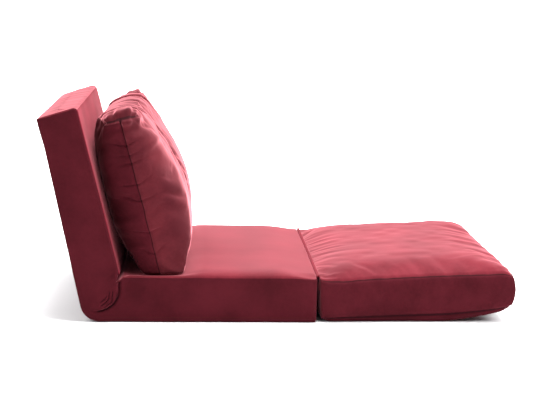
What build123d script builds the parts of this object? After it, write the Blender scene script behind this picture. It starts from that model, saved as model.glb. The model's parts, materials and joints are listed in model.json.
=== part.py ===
from build123d import *
import math
import os

# Convertible floor armchair: a seat, a reclining back, a foot pad that flips over and a loose pillow.
# Millimetres and degrees. X runs along the length towards the foot pad, Y across, Z up.
# The origin is the middle of the seat section's underside, on the floor.

# Overall sizes
WIDTH = 800.0
SEAT_LENGTH = 700.0
THICKNESS = 140.0
BACK_LENGTH = 630.0
BACK_LEAN = 14.0
BACK_TAPER = 14.0
FOOT_LENGTH = 595.0
FOOT_WIDTH = 792.0
SEAT_SWELL = 1.0
SEAT_CROWN = 4.0
EDGE_ROUND = 12.0
BACK_NOSE = 20.0
BASE_ROUND = 5.0

# Cloth and fits
FABRIC = 2.0
FIT = 0.3
BASE_CLOTH = 1.0
BASE_MARGIN = 14.0

# Recline fold
PIVOT_HEIGHT = 60.0
KNUCKLE_LIFT = 0.5
SOCKET_GAP = 0.6
FOLD_GAP_ANGLE = 0.5
LIP = 10.0
MOUTH_ANGLE = 62.0
NOTCH_STEPS = 6

# Frame
TUBE_RADIUS = 9.5
TUBE_WALL = 1.5
TUBE_START = 63.0
TUBE_INSET_Y = 70.0
TUBE_INSET_END = 70.0
TUBE_BEND = 60.0
TUBE_WAY_IN = 24.0
CROSS_AT = 55.0
STRAP_WIDTH = 50.0
STRAP_THICK = 1.6
STRAP_COUNT = 4

# Ratchet hinge
PLATE = 3.0
PLATE_GAP = 0.3
CAP_PLATE = 1.5
TAIL_WIDTH = 14.0
TAIL_GRIP = 46.0
WHEEL_RADIUS = 27.0
WHEEL_ROOT = 22.5
HEAD_RADIUS = 30.0
PIVOT_RADIUS = 5.0
PIVOT_HEAD = 8.0
PAWL_PIN_REACH = 42.0
PAWL_PIN_ANGLE = 58.0
PAWL_PIN_RADIUS = 3.0
PAWL_PIN_HEAD = 4.6
PAWL_BOSS = 6.5
PAWL_NOSE_ANGLE = 8.0
PAWL_ARM_REACH = 32.5
PAWL_ARM_ROUND = 2.8
PIN_LOBE = 9.0
POST_REACH = 50.0
POST_ANGLE = 25.0
POST_RADIUS = 2.0
POST_LOBE = 6.0
SPRING_THICK = 0.8
SPRING_WIDTH = 2.0
HEAD_HEIGHT = 1.8
HINGE_ROOM = 1.0
RIVET_RADIUS = 2.5
RIVET_HEAD = 4.5
RIVET_FIT = 0.05
RIVET_AT = (14.0, 36.0)

# Cloth hinge of the foot pad
BEAD_RADIUS = 3.0
TAPE = 1.5
TAPE_DROP = 46.0
TAPE_MARGIN = 24.0
AXIS_RISE = 0.0
BEAD_NECK = 1.0

# Foot pad form
FOOT_CROWN = 15.0
FOOT_CROWN_OUT = 10.0
FOOT_SHOULDER = 44.0
FOOT_SHOULDER_SHARE = 0.78
FOOT_SEAM_TOP = 127.0
FOOT_HINGE_RISE = 8.0
FOOT_HINGE_SPAN = 0.12
FOOT_END_RISE = 31.0
FOOT_SEAM_LOW = 10.0
FOOT_LOW_RISE = 28.0
FOOT_LOW_KICK = 12.0
FOOT_END_KICK = 40.0
FOOT_KICK_START = 0.62
FOOT_SEAM_SHARE = 0.7
FOOT_TUCK = 20.0
FOOT_BULGE = 5.0
FOOT_DRAW = 6.0
FOOT_END_SHARE = 0.04
FOOT_STATIONS = 8
WADDING = 14.0

# Pillow form, measured from the outer fold corner
PILLOW_WIDTH = 740.0
PILLOW_HEIGHT = 488.0
PILLOW_BASE_REAR = 146.0
PILLOW_BASE_FRONT = 286.0
PILLOW_BASE_PINCH = 9.0
PILLOW_TOP_REAR = 46.0
PILLOW_TOP_FRONT = 146.0
PILLOW_TOP_SLOPE = 30.0
PILLOW_FRONT = 308.0
PILLOW_FRONT_HEIGHT = 165.0
PILLOW_BACK_HEIGHT = 270.0
PILLOW_SEAT_GAP = 0.4
PILLOW_BACK_GAP = 0.4
PILLOW_END_PINCH = 0.56
PILLOW_CHANNEL = 0.88
PILLOW_CHANNEL_WIDTH = 90.0

# Zips
ZIP_TAPE = 24.0
ZIP_TAPE_THICK = 0.8
ZIP_COIL = 5.0
ZIP_PROUD = 1.0
ZIP_SLOT_FIT = 0.5
ZIP_END = 60.0
SLIDER_LENGTH = 12.0
SLIDER_WIDTH = 9.0
SLIDER_HEIGHT = 2.6
SLIDER_LIFT = 0.7
SLIDER_TAB = 22.0
BACK_ZIP_RISE = 70.0

# Places that follow from the sizes
FOLD_HALF = (90.0 + BACK_LEAN) / 2
RECLINE = 90.0 - BACK_LEAN
NOTCH_PITCH = RECLINE / NOTCH_STEPS
LEAN = math.radians(BACK_LEAN)
FOLD = math.radians(FOLD_HALF)
FRONT_X = SEAT_LENGTH / 2
CORNER_X = -SEAT_LENGTH / 2
PIVOT_X = CORNER_X + PIVOT_HEIGHT / math.tan(FOLD)
BACK_TOP = BACK_LENGTH - PIVOT_HEIGHT / math.tan(FOLD)
BACK_FRONT = THICKNESS - PIVOT_HEIGHT
KNUCKLE = PIVOT_HEIGHT - KNUCKLE_LIFT
SOCKET = KNUCKLE + SOCKET_GAP
HALF = WIDTH / 2
TUBE_Y = HALF - TUBE_INSET_Y
FOOT_GAP = 2 * (BEAD_RADIUS + FIT + TAPE)
AXIS_X = FRONT_X + FOOT_GAP / 2
AXIS_Z = THICKNESS + AXIS_RISE
FOOT_X = FRONT_X + FOOT_GAP
FOOT_END = FOOT_X + FOOT_LENGTH
SEAT_PLATE_Y = TUBE_Y - PLATE_GAP / 2 - PLATE
WHEEL_Y = TUBE_Y + PLATE_GAP / 2
CAP_Y = WHEEL_Y + PLATE + PLATE_GAP

PIVOT = Vector(PIVOT_X, 0, PIVOT_HEIGHT)
BACK_UP = Vector(-math.sin(LEAN), 0, math.cos(LEAN))
BACK_OUT = Vector(math.cos(LEAN), 0, math.sin(LEAN))
SIDE_PLANE = Plane(origin=PIVOT, x_dir=(1, 0, 0), z_dir=(0, -1, 0))
BACK_PLANE = Plane(origin=PIVOT, x_dir=BACK_OUT, z_dir=(0, -1, 0))
SEAT_FRAME_PLANE = Plane(origin=PIVOT, x_dir=(1, 0, 0), z_dir=(0, 0, 1))
BACK_FRAME_PLANE = Plane(origin=PIVOT, x_dir=BACK_UP, z_dir=-BACK_OUT)


def polar(radius, angle):
    """Point at a radius and an angle in degrees around the drawing's origin."""
    return (radius * math.cos(math.radians(angle)), radius * math.sin(math.radians(angle)))


def across(plane, face, half_width):
    """Outline drawn on a side plane, drawn out evenly to both sides."""
    return extrude(plane * face, amount=half_width, both=True)


def sheet(plane, face, near, far):
    """Outline on a side plane as a flat plate between two places across the width."""
    return Pos(0, far, 0) * extrude(plane * face, amount=far - near)


def both_sides(solid):
    """A piece and its mirror image on the other side."""
    return [solid, mirror(solid, about=Plane.XZ)]


def edges_where(solid, test):
    """Edges whose middle point passes a test."""
    return [edge for edge in solid.edges() if test(edge.center(), edge)]


def hinge_span():
    """Places across the width between which one hinge has its room."""
    return SEAT_PLATE_Y - HEAD_HEIGHT - HINGE_ROOM, CAP_Y + CAP_PLATE + HEAD_HEIGHT + HINGE_ROOM


# Seat section
def seat_outline(inset, floor):
    """Side view of the seat, open socket for the knuckle at its rear, crowned top."""
    angle = FOLD_HALF - FOLD_GAP_ANGLE
    top = THICKNESS + SEAT_SWELL - inset
    edge_top = top - SEAT_CROWN
    front = FRONT_X - inset
    reach = (edge_top - PIVOT_HEIGHT) / math.sin(math.radians(angle))
    crease_x = PIVOT_X + reach * math.cos(math.radians(angle))
    lip_drop = PIVOT_HEIGHT - BASE_CLOTH - LIP
    lip_angle = -math.degrees(math.asin(lip_drop / SOCKET))
    socket_top = Vector(PIVOT_X, PIVOT_HEIGHT) + Vector(*polar(SOCKET, angle))
    socket_mid = Vector(PIVOT_X, PIVOT_HEIGHT) + Vector(*polar(SOCKET, (angle + lip_angle) / 2))
    socket_low = Vector(PIVOT_X, PIVOT_HEIGHT) + Vector(*polar(SOCKET, lip_angle))
    crease = (crease_x, edge_top)
    corner = (front, edge_top)
    outline = Line(crease, socket_top)
    outline += ThreePointArc(socket_top, socket_mid, socket_low)
    outline += Polyline(socket_low, (socket_low.X, floor), (front, floor), corner)
    outline += ThreePointArc(corner, ((crease_x + front) / 2, top), crease)
    return make_face(outline)


def seat_form(inset):
    """Solid of the seat within its skin."""
    floor = BASE_CLOTH + inset
    front = FRONT_X - inset
    half = HALF - inset
    solid = across(Plane.XZ, seat_outline(inset, floor), half)
    rear = PIVOT_X + SOCKET + EDGE_ROUND
    upper = edges_where(solid, lambda c, e: c.Z > floor + 1 and (
        (abs(c.Y) > half - 1 and c.X > rear) or c.X > front - 1))
    solid = fillet(upper, EDGE_ROUND - inset)
    lower = edges_where(solid, lambda c, e: c.Z < floor + 0.01 and c.X > PIVOT_X + SOCKET)
    return fillet(lower, BASE_ROUND - inset)


def seat_cavity():
    """Room inside the seat cover, running out through its open rear."""
    top = THICKNESS + SEAT_SWELL - FABRIC
    edge_top = top - SEAT_CROWN
    floor = BASE_CLOTH + FABRIC
    front = FRONT_X - FABRIC
    half = HALF - FABRIC
    rear = PIVOT_X - SOCKET
    reach = (edge_top - PIVOT_HEIGHT) / math.tan(FOLD)
    crease = (PIVOT_X + reach, edge_top)
    outline = Polyline(crease, (rear, edge_top), (rear, floor), (front, floor), (front, edge_top))
    outline += ThreePointArc((front, edge_top), ((PIVOT_X + reach + front) / 2, top), crease)
    solid = across(Plane.XZ, make_face(outline), half)
    upper = edges_where(solid, lambda c, e: c.Z > floor + 1 and (
        (abs(c.Y) > half - 1 and c.X > PIVOT_X) or c.X > front - 1))
    solid = fillet(upper, EDGE_ROUND - FABRIC)
    lower = edges_where(solid, lambda c, e: c.Z < floor + 0.01 and c.X > rear + 1)
    return fillet(lower, BASE_ROUND - FABRIC)


# Back section, drawn around the pivot: first forwards, then up the back
def back_outline(inset):
    """Side view of the back, with the round knuckle at its foot."""
    mitre = FOLD_HALF - BACK_LEAN
    front = BACK_FRONT - inset
    radius = KNUCKLE - inset
    top = BACK_TOP - inset
    crease = (front, front * math.tan(math.radians(mitre)))
    low = mitre - 90.0 - FOLD_HALF
    outline = Line(crease, polar(radius, mitre))
    outline += ThreePointArc(polar(radius, mitre), polar(radius, (mitre + low) / 2), polar(radius, low))
    outline += ThreePointArc(polar(radius, low), polar(radius, (low - 180) / 2), (-radius, 0))
    outline += Polyline((-radius, 0), (BACK_TAPER - radius, top), (front, top), crease)
    return make_face(outline)


def up_back(point):
    """Distance of a point up the back from the pivot."""
    return (point - PIVOT).dot(BACK_UP)


def out_back(point):
    """Distance of a point in front of the pivot, square to the back."""
    return (point - PIVOT).dot(BACK_OUT)


def back_form(inset):
    """Solid of the back within its skin."""
    half = HALF - inset
    solid = across(BACK_PLANE, back_outline(inset), half)
    nose = edges_where(solid, lambda c, e: up_back(c) > BACK_TOP - inset - 1 and out_back(c) > BACK_FRONT - inset - 1)
    solid = fillet(nose, BACK_NOSE - inset)
    chosen = edges_where(solid, lambda c, e: abs(c.Y) > half - 1 and up_back(c) > KNUCKLE)
    chosen += edges_where(solid, lambda c, e: up_back(c) > BACK_TOP - inset - 1 and out_back(c) < -KNUCKLE / 2)
    return fillet(chosen, EDGE_ROUND - inset)


def mouth(low):
    """Wedge of the knuckle that opens towards the seat, from an angle up to the crease."""
    far = 2 * KNUCKLE
    mitre = FOLD_HALF - BACK_LEAN
    turns = [low + (mitre - low) * step / 3 for step in range(4)]
    return make_face(Polyline((0, 0), *[polar(far, turn) for turn in turns], close=True))


def back_cavity():
    """Room inside the back cover: the slab, the knuckle and the mouth towards the seat."""
    half = HALF - FABRIC
    front = BACK_FRONT - FABRIC
    radius = KNUCKLE - FABRIC
    top = BACK_TOP - FABRIC
    slab = across(BACK_PLANE, make_face(Polyline(
        (-radius, 0), (front, 0), (front, top), (BACK_TAPER - radius, top), close=True)), half)
    nose = edges_where(slab, lambda c, e: up_back(c) > top - 1 and out_back(c) > front - 1)
    slab = fillet(nose, BACK_NOSE - FABRIC)
    chosen = edges_where(slab, lambda c, e: up_back(c) > 1 and (abs(c.Y) > half - 1 or out_back(c) < -radius / 2))
    slab = fillet(chosen, EDGE_ROUND - FABRIC)
    round_end = across(BACK_PLANE, Circle(radius), half)
    round_end = fillet(edges_where(round_end, lambda c, e: abs(c.Y) > half - 1), EDGE_ROUND - FABRIC)
    cavity = slab + round_end + across(BACK_PLANE, mouth(-MOUTH_ANGLE), half)
    near, far = hinge_span()
    for slot in both_sides(sheet(BACK_PLANE, mouth(-90 - BACK_LEAN), near, far)):
        cavity += slot
    return cavity


# Frames, drawn with X away from the pivot along the legs
def leg_length(reach):
    """Where the far crossbar's centre line lies."""
    return reach - TUBE_INSET_END


def tube_path(reach):
    """Centre line of the bent tube."""
    end = leg_length(reach)
    return FilletPolyline((TUBE_START, -TUBE_Y), (end, -TUBE_Y), (end, TUBE_Y), (TUBE_START, TUBE_Y),
                          radius=TUBE_BEND)


def swept(path, radius):
    """Round rod along a path."""
    start = Plane(origin=path @ 0, z_dir=path % 0)
    return sweep(start * Circle(radius), path=path)


def rung_places(reach):
    """Places along the legs of the cross tubes and of the straps between them."""
    first = TUBE_START + CROSS_AT
    last = leg_length(reach) - TUBE_BEND
    step = (last - first) / (STRAP_COUNT + 1)
    straps = [first + step * (index + 1) for index in range(STRAP_COUNT)]
    return [first, first + step * (STRAP_COUNT + 1) / 2], straps


def cross_rods(reach, radius):
    """Straight rods across between the legs."""
    rungs, _ = rung_places(reach)
    return [Pos(rung, 0, 0) * Rot(90, 0, 0) * Cylinder(radius, 2 * TUBE_Y) for rung in rungs]


def strap_loop(place, inner, outer, width):
    """Elastic band around both legs, as the ring between two slots."""
    section = SlotCenterToCenter(2 * TUBE_Y, 2 * outer)
    if inner:
        section -= SlotCenterToCenter(2 * TUBE_Y, 2 * inner)
    plane = Plane(origin=(place - width / 2, 0, 0), x_dir=(0, 1, 0), z_dir=(1, 0, 0))
    return extrude(plane * section, amount=width)


def rivet_rods(radius, length):
    """Rods through the tube ends of one frame."""
    rods = []
    for side in (-TUBE_Y, TUBE_Y):
        for place in RIVET_AT:
            rods.append(Pos(TUBE_START + place, side, 0) * Rot(90, 0, 0) * Cylinder(radius, length))
    return rods


def frame_pieces(plane, reach):
    """Tube, cross tubes, straps and rivets of one frame, and the room that they need in the foam."""
    path = tube_path(reach)
    holes = rivet_rods(RIVET_RADIUS + RIVET_FIT, 4 * TUBE_RADIUS)
    tube = swept(path, TUBE_RADIUS) - swept(path, TUBE_RADIUS - TUBE_WALL)
    for hole in holes:
        tube -= hole
    legs = swept(path, TUBE_RADIUS + RIVET_FIT)
    hollow = cross_rods(reach, TUBE_RADIUS - TUBE_WALL)
    cross = []
    for rod, core in zip(cross_rods(reach, TUBE_RADIUS), hollow):
        cross.append(rod - core - legs)
    _, places = rung_places(reach)
    inner = TUBE_RADIUS + FIT
    outer = inner + STRAP_THICK
    straps = [strap_loop(place, inner, outer, STRAP_WIDTH) for place in places]
    shaft = 2 * TUBE_RADIUS + 2 * HEAD_HEIGHT
    rivets = []
    for rod, head in zip(rivet_rods(RIVET_RADIUS, shaft), rivet_rods(RIVET_HEAD, shaft)):
        rivets.append(rod + (head - Pos(*head.center()) * Box(4 * RIVET_HEAD, 2 * TUBE_RADIUS, 4 * RIVET_HEAD)))
    room = swept(path, TUBE_RADIUS + FIT)
    for rod in cross_rods(reach, TUBE_RADIUS + FIT):
        room += rod
    for place in places:
        room += strap_loop(place, 0, outer + FIT, STRAP_WIDTH + 2 * FIT)
    for head in rivet_rods(RIVET_HEAD + FIT, shaft + 2 * FIT):
        room += head
    for side in (-TUBE_Y, TUBE_Y):
        room += Pos(TUBE_START, side, 0) * Rot(0, 90, 0) * Cylinder(TUBE_RADIUS + FIT, TUBE_WAY_IN)
    groups = {"tube": [tube], "cross": cross, "straps": straps, "rivets": rivets}
    placed = {name: [plane * solid for solid in solids] for name, solids in groups.items()}
    return placed, plane * room


# Ratchet hinge, drawn around the pivot for one side
PIN_PLACE = polar(PAWL_PIN_REACH, PAWL_PIN_ANGLE)
POST_PLACE = polar(POST_REACH, POST_ANGLE)


def hull(*circles):
    """Outline stretched around circles, each given as place and radius."""
    edges = []
    for place, radius in circles:
        edges += (Pos(*place) * Circle(radius)).edges()
    return make_hull(edges)


def tail(plane, near, angle):
    """Tongue of a hinge plate that lies inside its tube."""
    length = TUBE_START + TAIL_GRIP
    face = Rot(0, 0, angle) * Pos(length / 2, 0) * Rectangle(length, TAIL_WIDTH)
    for place in RIVET_AT:
        face -= Rot(0, 0, angle) * Pos(TUBE_START + place, 0) * Circle(RIVET_RADIUS + RIVET_FIT)
    return face


def seat_plate():
    """Plate on the seat frame: head, pin lobe, spring post and tongue."""
    face = hull(((0, 0), HEAD_RADIUS), (PIN_PLACE, PIN_LOBE), (POST_PLACE, POST_LOBE))
    face += tail(SIDE_PLANE, SEAT_PLATE_Y, 0)
    face -= Circle(PIVOT_RADIUS + RIVET_FIT)
    face -= Pos(*PIN_PLACE) * Circle(PAWL_PIN_RADIUS + RIVET_FIT)
    plate = sheet(SIDE_PLANE, face, SEAT_PLATE_Y, SEAT_PLATE_Y + PLATE)
    post = sheet(SIDE_PLANE, Pos(*POST_PLACE) * Circle(POST_RADIUS), SEAT_PLATE_Y, WHEEL_Y + PLATE)
    return plate + post


def notch(angle):
    """Saw-tooth notch: a straight flank that holds and a ramp that lets the pawl ride out."""
    return make_face(Polyline(
        polar(WHEEL_ROOT, angle - 1.5), polar(WHEEL_RADIUS + 1, angle - 1.5),
        polar(WHEEL_RADIUS + 1, angle + 7.5), polar(WHEEL_ROOT, angle + 1.5), close=True))


def wheel_plate():
    """Toothed plate on the back frame, one notch for each resting place."""
    face = Circle(WHEEL_RADIUS) + tail(BACK_PLANE, WHEEL_Y, 90)
    for step in range(NOTCH_STEPS + 1):
        face -= notch(PAWL_NOSE_ANGLE - BACK_LEAN - step * NOTCH_PITCH)
    face -= Circle(PIVOT_RADIUS + RIVET_FIT)
    return sheet(BACK_PLANE, face, WHEEL_Y, WHEEL_Y + PLATE)


def pawl():
    """Pawl: nose in the notch, arm outside the teeth, boss around its pin."""
    arm_end = polar(PAWL_ARM_REACH, PAWL_NOSE_ANGLE + 4)
    nose = make_face(Polyline(
        polar(WHEEL_ROOT + 0.5, PAWL_NOSE_ANGLE - 0.7), polar(PAWL_ARM_REACH, PAWL_NOSE_ANGLE - 0.7),
        polar(PAWL_ARM_REACH, PAWL_NOSE_ANGLE + 7), polar(WHEEL_RADIUS, PAWL_NOSE_ANGLE + 6.2),
        polar(WHEEL_ROOT + 0.5, PAWL_NOSE_ANGLE + 0.7), close=True))
    face = hull((arm_end, PAWL_ARM_ROUND), (PIN_PLACE, PAWL_BOSS)) + nose
    face -= Pos(*PIN_PLACE) * Circle(PAWL_PIN_RADIUS + RIVET_FIT)
    return sheet(SIDE_PLANE, face, WHEEL_Y, WHEEL_Y + PLATE)


def pawl_spring():
    """Flat spring curled around its post, its end on the back of the pawl."""
    inner = POST_RADIUS + 2 * RIVET_FIT
    arm_end = Vector(*polar(PAWL_ARM_REACH, PAWL_NOSE_ANGLE + 4))
    post = Vector(*POST_PLACE)
    along = (Vector(*PIN_PLACE) - arm_end).normalized()
    outward = Vector(along.Y, -along.X)
    tip = arm_end + outward * (PAWL_ARM_ROUND + RIVET_FIT + SPRING_THICK)
    middle = (post + tip) * 0.5
    angle = math.degrees(math.atan2(post.Y - tip.Y, post.X - tip.X))
    blade = Pos(middle.X, middle.Y) * Rot(0, 0, angle) * Rectangle((post - tip).length, SPRING_THICK)
    face = blade + Pos(*POST_PLACE) * Circle(inner + SPRING_THICK)
    face -= Pos(*POST_PLACE) * Circle(inner)
    near = WHEEL_Y + (PLATE - SPRING_WIDTH) / 2
    return sheet(SIDE_PLANE, face, near, near + SPRING_WIDTH)


def hinge_cap():
    """Plate that keeps wheel and pawl on their pins."""
    face = hull(((0, 0), HEAD_RADIUS), (PIN_PLACE, PIN_LOBE))
    face -= Circle(PIVOT_RADIUS + RIVET_FIT)
    face -= Pos(*PIN_PLACE) * Circle(PAWL_PIN_RADIUS + RIVET_FIT)
    return sheet(SIDE_PLANE, face, CAP_Y, CAP_Y + CAP_PLATE)


def headed_pin(place, radius, head):
    """Pin through seat plate and cap, with a head at each end."""
    near = SEAT_PLATE_Y
    far = CAP_Y + CAP_PLATE
    pin = sheet(SIDE_PLANE, Pos(*place) * Circle(radius), near - HEAD_HEIGHT, far + HEAD_HEIGHT)
    pin += sheet(SIDE_PLANE, Pos(*place) * Circle(head), near - HEAD_HEIGHT, near)
    pin += sheet(SIDE_PLANE, Pos(*place) * Circle(head), far, far + HEAD_HEIGHT)
    return pin


def hinge_room(radius):
    """Pocket around one hinge, for the foam of the back."""
    near, far = hinge_span()
    return sheet(SIDE_PLANE, Circle(radius), near, far)


# Zips, laid on a plane whose X runs along the zip and whose Z points out of the cover
def zip_pieces(plane, length):
    """Tape with its coil, the slider, the slot in the cover and the room in the filling."""
    under = -FABRIC - RIVET_FIT
    tape = Pos(0, 0, under - ZIP_TAPE_THICK / 2) * Box(length, ZIP_TAPE, ZIP_TAPE_THICK)
    coil_height = ZIP_PROUD - under
    tape += Pos(0, 0, under + coil_height / 2) * Box(length, ZIP_COIL, coil_height)
    body = Pos(0, 0, SLIDER_LIFT + SLIDER_HEIGHT / 2) * Box(SLIDER_LENGTH, SLIDER_WIDTH, SLIDER_HEIGHT)
    body -= Box(2 * SLIDER_LENGTH, ZIP_COIL + 2 * FIT, 2 * (ZIP_PROUD + FIT))
    tab_x = (SLIDER_TAB + SLIDER_LENGTH) / 2 - RIVET_FIT
    tab_z = SLIDER_LIFT + SLIDER_HEIGHT - ZIP_TAPE_THICK / 2
    body += Pos(tab_x, 0, tab_z) * Box(SLIDER_TAB, ZIP_COIL, ZIP_TAPE_THICK)
    start = Pos(-length / 2 + SLIDER_LENGTH, 0, 0) * body
    slot = Box(length + 2 * ZIP_SLOT_FIT, ZIP_COIL + 2 * ZIP_SLOT_FIT, 8 * FABRIC)
    room = Pos(0, 0, under - ZIP_TAPE_THICK / 2) * Box(
        length + 2 * FIT, ZIP_TAPE + 2 * FIT, ZIP_TAPE_THICK + 2 * FIT)
    return plane * tape, plane * start, plane * slot, plane * room


# Foot pad: upright sections along the length, full on top with round shoulders, tucked in below
def foot_section(place, part, share, inset):
    """One section across the pad; part runs from seat to outer end, share from the ends to the middle."""
    half = FOOT_WIDTH / 2 - FOOT_DRAW * share - inset
    hinge_end = max(0.0, 1 - part / FOOT_HINGE_SPAN)
    kick = max(0.0, (part - FOOT_KICK_START) / (1 - FOOT_KICK_START))
    low = inset + FOOT_END_KICK * kick ** 1.5
    seam_low = FOOT_SEAM_LOW + FOOT_LOW_RISE * part + FOOT_LOW_KICK * kick ** 2 + FOOT_SEAM_SHARE * inset
    seam_top = FOOT_SEAM_TOP + FOOT_HINGE_RISE * hinge_end ** 2 + FOOT_END_RISE * part - inset
    crown = (FOOT_CROWN + FOOT_CROWN_OUT * part) * max(share, FOOT_END_SHARE)
    shoulder = (half - FOOT_SHOULDER, seam_top + FOOT_SHOULDER_SHARE * crown)
    rounding = (half - 0.3 * FOOT_SHOULDER, seam_top + 0.6 * FOOT_SHOULDER_SHARE * crown)
    tuck = half - FOOT_TUCK
    bulge = half + FOOT_BULGE
    middle = (seam_low + seam_top) / 2
    outline = Polyline((half, seam_low), (tuck, low), (-tuck, low), (-half, seam_low))
    outline += ThreePointArc((-half, seam_low), (-bulge, middle), (-half, seam_top))
    outline += ThreePointArc((-half, seam_top), (-rounding[0], rounding[1]), (-shoulder[0], shoulder[1]))
    outline += ThreePointArc((-shoulder[0], shoulder[1]), (0, seam_top + crown), shoulder)
    outline += ThreePointArc(shoulder, rounding, (half, seam_top))
    outline += ThreePointArc((half, seam_top), (bulge, middle), (half, seam_low))
    plane = Plane(origin=(place, 0, 0), x_dir=(0, 1, 0), z_dir=(1, 0, 0))
    return plane * make_face(outline)


def foot_form(inset):
    """Solid of the pad within its skin, its crown full along the length and falling off at both ends."""
    start = FOOT_X + inset
    length = FOOT_LENGTH - 2 * inset
    sections = []
    for index in range(FOOT_STATIONS + 1):
        part = 0.5 - 0.5 * math.cos(math.pi * index / FOOT_STATIONS)
        share = (1 - (2 * part - 1) ** 4) ** 0.5 if 0 < index < FOOT_STATIONS else 0.0
        sections.append(foot_section(start + length * part, part, share, inset))
    return loft(sections, ruled=True)


# Pillow: side views from end to end, full in the halves, drawn in at the ends and the centre channel
def pillow_points():
    """Corner and bulge points of the fullest side view, from the outer fold corner."""
    floor = THICKNESS + SEAT_SWELL + PILLOW_SEAT_GAP
    back_x = PILLOW_BASE_REAR
    bulge_z = floor + PILLOW_BACK_HEIGHT
    slope = math.tan(LEAN)
    corner_x = THICKNESS / math.tan(FOLD)
    rear_x = corner_x - (bulge_z - THICKNESS) * slope + PILLOW_BACK_GAP / math.cos(LEAN)
    top = floor + PILLOW_HEIGHT
    return [
        (back_x, floor), ((back_x + PILLOW_BASE_FRONT) / 2, floor + PILLOW_BASE_PINCH),
        (PILLOW_BASE_FRONT, floor), (PILLOW_FRONT, floor + PILLOW_FRONT_HEIGHT),
        (PILLOW_TOP_FRONT, top), (PILLOW_TOP_REAR, top - PILLOW_TOP_SLOPE), (rear_x, bulge_z)]


def pillow_section(place, share, inset):
    """Side view at one place across, its thickness a share of the fullest one."""
    points = pillow_points()
    low = points[1]
    high = ((points[4][0] + points[5][0]) / 2, (points[4][1] + points[5][1]) / 2)
    middle = (low[1] + high[1]) / 2
    half_height = (high[1] - low[1]) / 2
    half_thick = (points[3][0] - points[6][0]) / 2
    moved = []
    for x, z in points:
        seam_x = low[0] + (high[0] - low[0]) * (z - low[1]) / (high[1] - low[1])
        near = (x - seam_x) * share * (1 - inset / (half_thick * share))
        moved.append((CORNER_X + seam_x + near, middle + (z - middle) * (1 - inset / half_height)))
    base_rear, base_mid, base_front, bulge, top_front, top_rear, back = moved
    along = (-math.sin(LEAN), math.cos(LEAN))
    outline = Polyline(base_rear, base_mid, base_front)
    outline += ThreePointArc(base_front, bulge, top_front)
    outline += Line(top_front, top_rear)
    outline += TangentArc(back, top_rear, tangent=along)
    outline += TangentArc(back, base_rear, tangent=(-along[0], -along[1]))
    plane = Plane(origin=(0, place, 0), x_dir=(1, 0, 0), z_dir=(0, -1, 0))
    return plane * make_face(outline)


def pillow_form(inset):
    """Solid of the pillow within its skin."""
    half = PILLOW_WIDTH / 2
    end = half - inset
    channel = PILLOW_CHANNEL_WIDTH / 2
    round_in = half * 0.07
    full = (half + channel) / 2
    shares = [
        (-end, PILLOW_END_PINCH), (-half + round_in, 0.84), (-half + 3 * round_in, 0.97), (-full, 1.0),
        (-channel, 0.97), (0.0, PILLOW_CHANNEL), (channel, 0.97), (full, 1.0),
        (half - 3 * round_in, 0.97), (half - round_in, 0.84), (end, PILLOW_END_PINCH)]
    sections = [pillow_section(place, share, inset) for place, share in shares]
    return loft(sections, ruled=True)


# Build of the seat section
nodes = {}
seat_frame, seat_room = frame_pieces(SEAT_FRAME_PLANE, FRONT_X - PIVOT_X)
seat_foam = seat_form(FABRIC + FIT) - seat_room
nodes["seat_cover"] = [seat_form(0) - seat_cavity()]
nodes["seat_foam_top"] = [split(seat_foam, bisect_by=SEAT_FRAME_PLANE, keep=Keep.TOP)]
nodes["seat_foam_base"] = [split(seat_foam, bisect_by=SEAT_FRAME_PLANE, keep=Keep.BOTTOM)]
nodes["seat_tube"] = seat_frame["tube"]
nodes["seat_cross_tubes"] = seat_frame["cross"]
nodes["seat_straps"] = seat_frame["straps"]
nodes["seat_rivets"] = seat_frame["rivets"]
base_rear = PIVOT_X + SOCKET + BASE_MARGIN
base_front = FRONT_X - BASE_MARGIN
base_length = base_front - base_rear
nodes["base_cloth"] = [Pos((base_rear + base_front) / 2, 0, BASE_CLOTH / 2) * Box(
    base_length, WIDTH - 2 * BASE_MARGIN, BASE_CLOTH)]

# Build of the hinges
nodes["hinge_seat_plates"] = both_sides(seat_plate())
nodes["hinge_wheels"] = both_sides(wheel_plate())
nodes["hinge_caps"] = both_sides(hinge_cap())
nodes["hinge_pivots"] = both_sides(headed_pin((0, 0), PIVOT_RADIUS, PIVOT_HEAD))
nodes["pawl_pins"] = both_sides(headed_pin(PIN_PLACE, PAWL_PIN_RADIUS, PAWL_PIN_HEAD))
nodes["pawl_springs"] = both_sides(pawl_spring())
nodes["pawl_left"] = [pawl()]
nodes["pawl_right"] = [mirror(pawl(), about=Plane.XZ)]

# Build of the back section
rear_offset = KNUCKLE - BACK_TAPER * BACK_ZIP_RISE / BACK_TOP
rear_normal = BACK_UP * BACK_TAPER - BACK_OUT * BACK_TOP
back_zip_plane = Plane(
    origin=PIVOT - BACK_OUT * rear_offset + BACK_UP * BACK_ZIP_RISE, x_dir=(0, 1, 0), z_dir=rear_normal)
back_zip, back_slider, back_slot, back_zip_room = zip_pieces(back_zip_plane, WIDTH - 2 * ZIP_END)
back_frame, back_room = frame_pieces(BACK_FRAME_PLANE, BACK_TOP)
back_foam = back_form(FABRIC + FIT) - back_room - back_zip_room
for pocket in both_sides(hinge_room(KNUCKLE)):
    back_foam -= pocket
nodes["back_cover"] = [back_form(0) - back_cavity() - back_slot]
nodes["back_foam_rear"] = [split(back_foam, bisect_by=BACK_FRAME_PLANE, keep=Keep.TOP)]
nodes["back_foam_front"] = [split(back_foam, bisect_by=BACK_FRAME_PLANE, keep=Keep.BOTTOM)]
nodes["back_tube"] = back_frame["tube"]
nodes["back_cross_tubes"] = back_frame["cross"]
nodes["back_straps"] = back_frame["straps"]
nodes["back_rivets"] = back_frame["rivets"]
nodes["back_zip"] = [back_zip]
nodes["back_zip_slider"] = [back_slider]

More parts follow.
